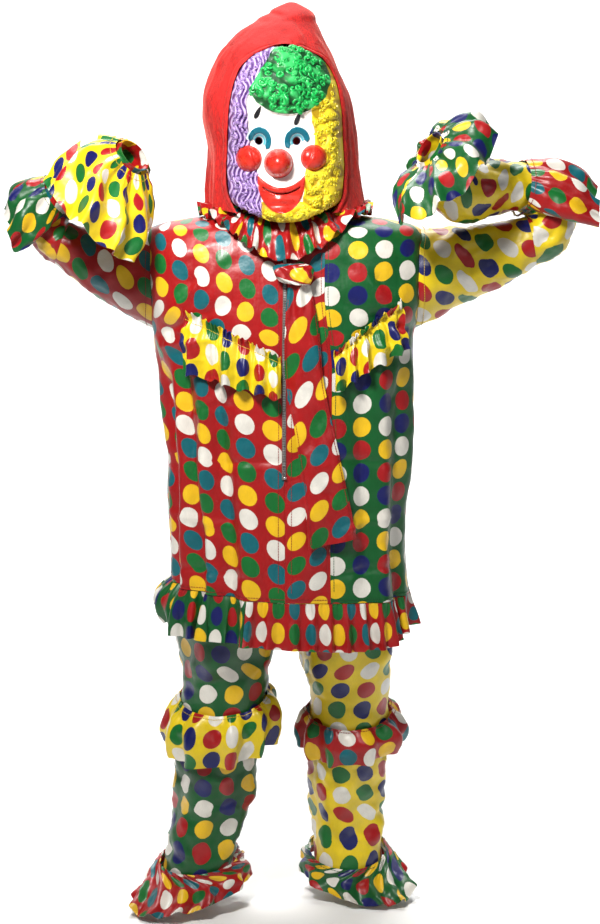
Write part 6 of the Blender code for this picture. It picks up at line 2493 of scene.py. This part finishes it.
@dataclass
class Stitches:
    """Rows of sewing thread along hems, seams and gathers."""

    step: float = 0.0036
    size: tuple[float, float, float] = (0.0027, 0.0007, 0.0006)
    lift: float = 0.0004

    def body(self) -> list[Row]:
        """Rows on the tunic: over the hem, beside the zip, down the strip's edge."""
        def hem(v: Points, a: Points) -> Points:
            return torso_shape(hem_height(a) + v, a)

        def front(v: Points, a: Points) -> Points:
            return front_point(v, a, 0.0)

        rows = []
        strip = float(angle_at_x(0.44, PLACKET))
        for start, end, thread in ((-math.pi, strip, Satin.RED),
                                   (strip, math.pi / 2, Satin.GREEN),
                                   (math.pi / 2, math.pi, Satin.RED)):
            a = np.linspace(start + 0.02, end - 0.02, int(160 * (end - start)))
            rows.append(Row(thread, path_on(hem, 0.0045, a, self.lift, away_from_body)))
        z = np.linspace(0.925, 0.462, 300)
        for x, thread in ((-0.0085, Satin.RED), (0.0085, Satin.RED), (0.0575, Satin.RED),
                          (0.0665, Satin.GREEN)):
            shift = -placket_slant(z) if x > 0.05 else 0.0
            rows.append(Row(thread, path_on(front, z, x + shift, self.lift, forward)))
        return rows

    def limbs(self) -> list[Row]:
        """Rows at the armholes and along the gathers of every ring."""
        rows = []
        for arm in Sleeves().arms():
            path = path_on(sleeve_shape(arm.upper, arm.side, arm.mark), 0.16,
                           np.linspace(0, TAU, 260)[:-1], self.lift, away_from_middle)
            rows.append(Row(arm.satin, path, True))
        for ring in (*LimbFrills().rings(), Collar().ruffle):
            path = path_on(ring.shape, 0.07, np.linspace(0, TAU, 520)[:-1], self.lift,
                           away_from_middle)
            rows.append(Row(ring.satin, path, True))
        return rows

    def trims(self) -> list[Row]:
        """Rows on the chest frills and the necktie."""
        rows = []
        a = np.linspace(0.01, 0.99, 220)
        for flounce in (CHEST_RIGHT, CHEST_LEFT):
            rows.append(Row(Satin.YELLOW, path_on(ChestFrills().shape(flounce), 0.015, a,
                                                  self.lift, forward)))
        v = np.linspace(TIE[0].z - 0.02, TIE[-1].z + 0.006, 260)
        for a in (0.06, 0.94):
            rows.append(Row(Satin.RED, path_on(Necktie().blade, v, a, self.lift, forward)))
        return rows

    def build(self) -> list[Object]:
        """Make one piece of stitches for each thread."""
        rows = self.body() + self.limbs() + self.trims()
        made = []
        for thread, colour in ((Satin.RED, (0.3, 0.01, 0.01)),
                               (Satin.GREEN, (0.004, 0.09, 0.02)),
                               (Satin.YELLOW, (0.64, 0.43, 0.02))):
            name = thread.value.name.replace("satin", "stitches")
            paint = Plain(name + "_thread", colour, 0.55, grain=2600.0).material()
            along = Along(name + "_tree", self.step, self.size, paint)
            parts = []
            for closed in (False, True):
                paths = [r.path for r in rows if r.thread is thread and r.closed is closed]
                if paths:
                    parts.append(along.run(f"{name}_{len(parts)}", paths, closed))
            made.append(dress(join(parts, name, paint), thread.value.name))
        return made


# ---------------------------------------------------------------- studio
@dataclass
class Studio:
    """Pale floor and backdrop, soft lights and the camera.

    Attributes:
        floor: Height of the floor in the frame.
        distance, height, across: Place of the camera.
        pitch: Degrees by which the camera is tipped down.
        lens: Focal length in millimetres.
        start: Place in y where the floor begins to curve up.
        bend: Radius of that curve.
        half: Half width of the floor.
    """

    floor: float = -0.9516
    distance: float = 3.6
    height: float = 0.17
    across: float = 0.02
    pitch: float = 7.9
    lens: float = 68.91
    start: float = 3.6
    bend: float = 1.2
    half: float = 5.0

    def build(self) -> None:
        """Set everything up."""
        self.backdrop()
        self.lamps()
        self.camera()

    def backdrop(self) -> None:
        """Floor that curves up behind the costume."""
        profile = [(-self.half, 0.0), (self.start, 0.0)]
        for step in range(1, 13):
            angle = step * math.pi / 24
            profile.append((self.start + self.bend * math.sin(angle),
                            self.bend - self.bend * math.cos(angle)))
        profile.append((self.start + self.bend, 5.0))
        points = [(x, y, z + self.floor) for y, z in profile for x in (-self.half, self.half)]
        faces = [(i, i + 1, i + 3, i + 2) for i in range(0, 2 * len(profile) - 2, 2)]
        t = Tree("floor_paper")
        pale = t.ramp(t.noise(t.solid, 3.0), [(0.3, (0.86, 0.86, 0.85)),
                                              (0.7, (0.9, 0.9, 0.89))])
        floor = put_mesh("studio_floor", np.array(points), faces,
                         t.shade(Base_Color=pale, Roughness=0.9))
        world = bpy.context.scene.world or bpy.data.worlds.new("studio")
        bpy.context.scene.world = world
        world.use_nodes = True
        back = world.node_tree.nodes["Background"]
        back.inputs["Color"].default_value = (0.95, 0.97, 1.0, 1.0)
        back.inputs["Strength"].default_value = 0.1

    def lamps(self) -> None:
        """Key and fill light on the costume, and a light on the wall behind it."""
        bpy.context.scene.view_settings.view_transform = "Standard"
        for name, place, size, watts, colour in (
                ("key", (-0.4, -1.15, 0.9), 0.35, 13.0, (1.0, 0.98, 0.95)),
                ("fill", (1.9, -2.8, 0.9), 1.2, 9.0, (0.95, 0.97, 1.0)),
                ("wall", (0.0, 2.2, 3.6), 3.0, 380.0, (1.0, 1.0, 1.0))):
            data = bpy.data.lights.new(name, "AREA")
            data.shape = "DISK"
            data.size = size
            data.energy = watts
            data.color = colour
            if name == "key":
                data.spread = math.radians(100)
            lamp = bpy.data.objects.new(name, data)
            lamp.location = place
            aim = (0.0, 4.4, -0.2) if name == "wall" else (0.0, 0.0, -0.05)
            way = Vector(aim) - Vector(place)
            lamp.rotation_euler = way.to_track_quat("-Z", "Y").to_euler()
            bpy.context.scene.collection.objects.link(lamp)

    def camera(self) -> None:
        """Camera a little above the costume's chest, tipped down."""
        data = bpy.data.cameras.new("camera")
        data.sensor_fit = "VERTICAL"
        data.sensor_height = 24.0
        data.lens = self.lens
        item = bpy.data.objects.new("camera", data)
        item.location = (self.across, -self.distance, self.height)
        item.rotation_euler = (math.radians(90 - self.pitch), 0, 0)
        bpy.context.scene.collection.objects.link(item)
        bpy.context.scene.camera = item


# ---------------------------------------------------------------- main
def main() -> None:
    """Build every sub-assembly in the order in which the costume is sewn."""
    logging.basicConfig(level=logging.INFO, format="%(name)s: %(message)s", stream=sys.stdout)
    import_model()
    Studio().build()
    for assembly in (Tunic(), Sleeves(), LimbFrills(), HemFrill(), Collar(), ChestFrills(),
                     Necktie(), FrontZip(), Trousers(), Hood(), Mask(), Stitches()):
        for item in assembly.build():
            LOG.info("%s: %s with %d faces", type(assembly).__name__, item.name,
                     len(item.data.polygons))


if __name__ == "__main__":
    main()
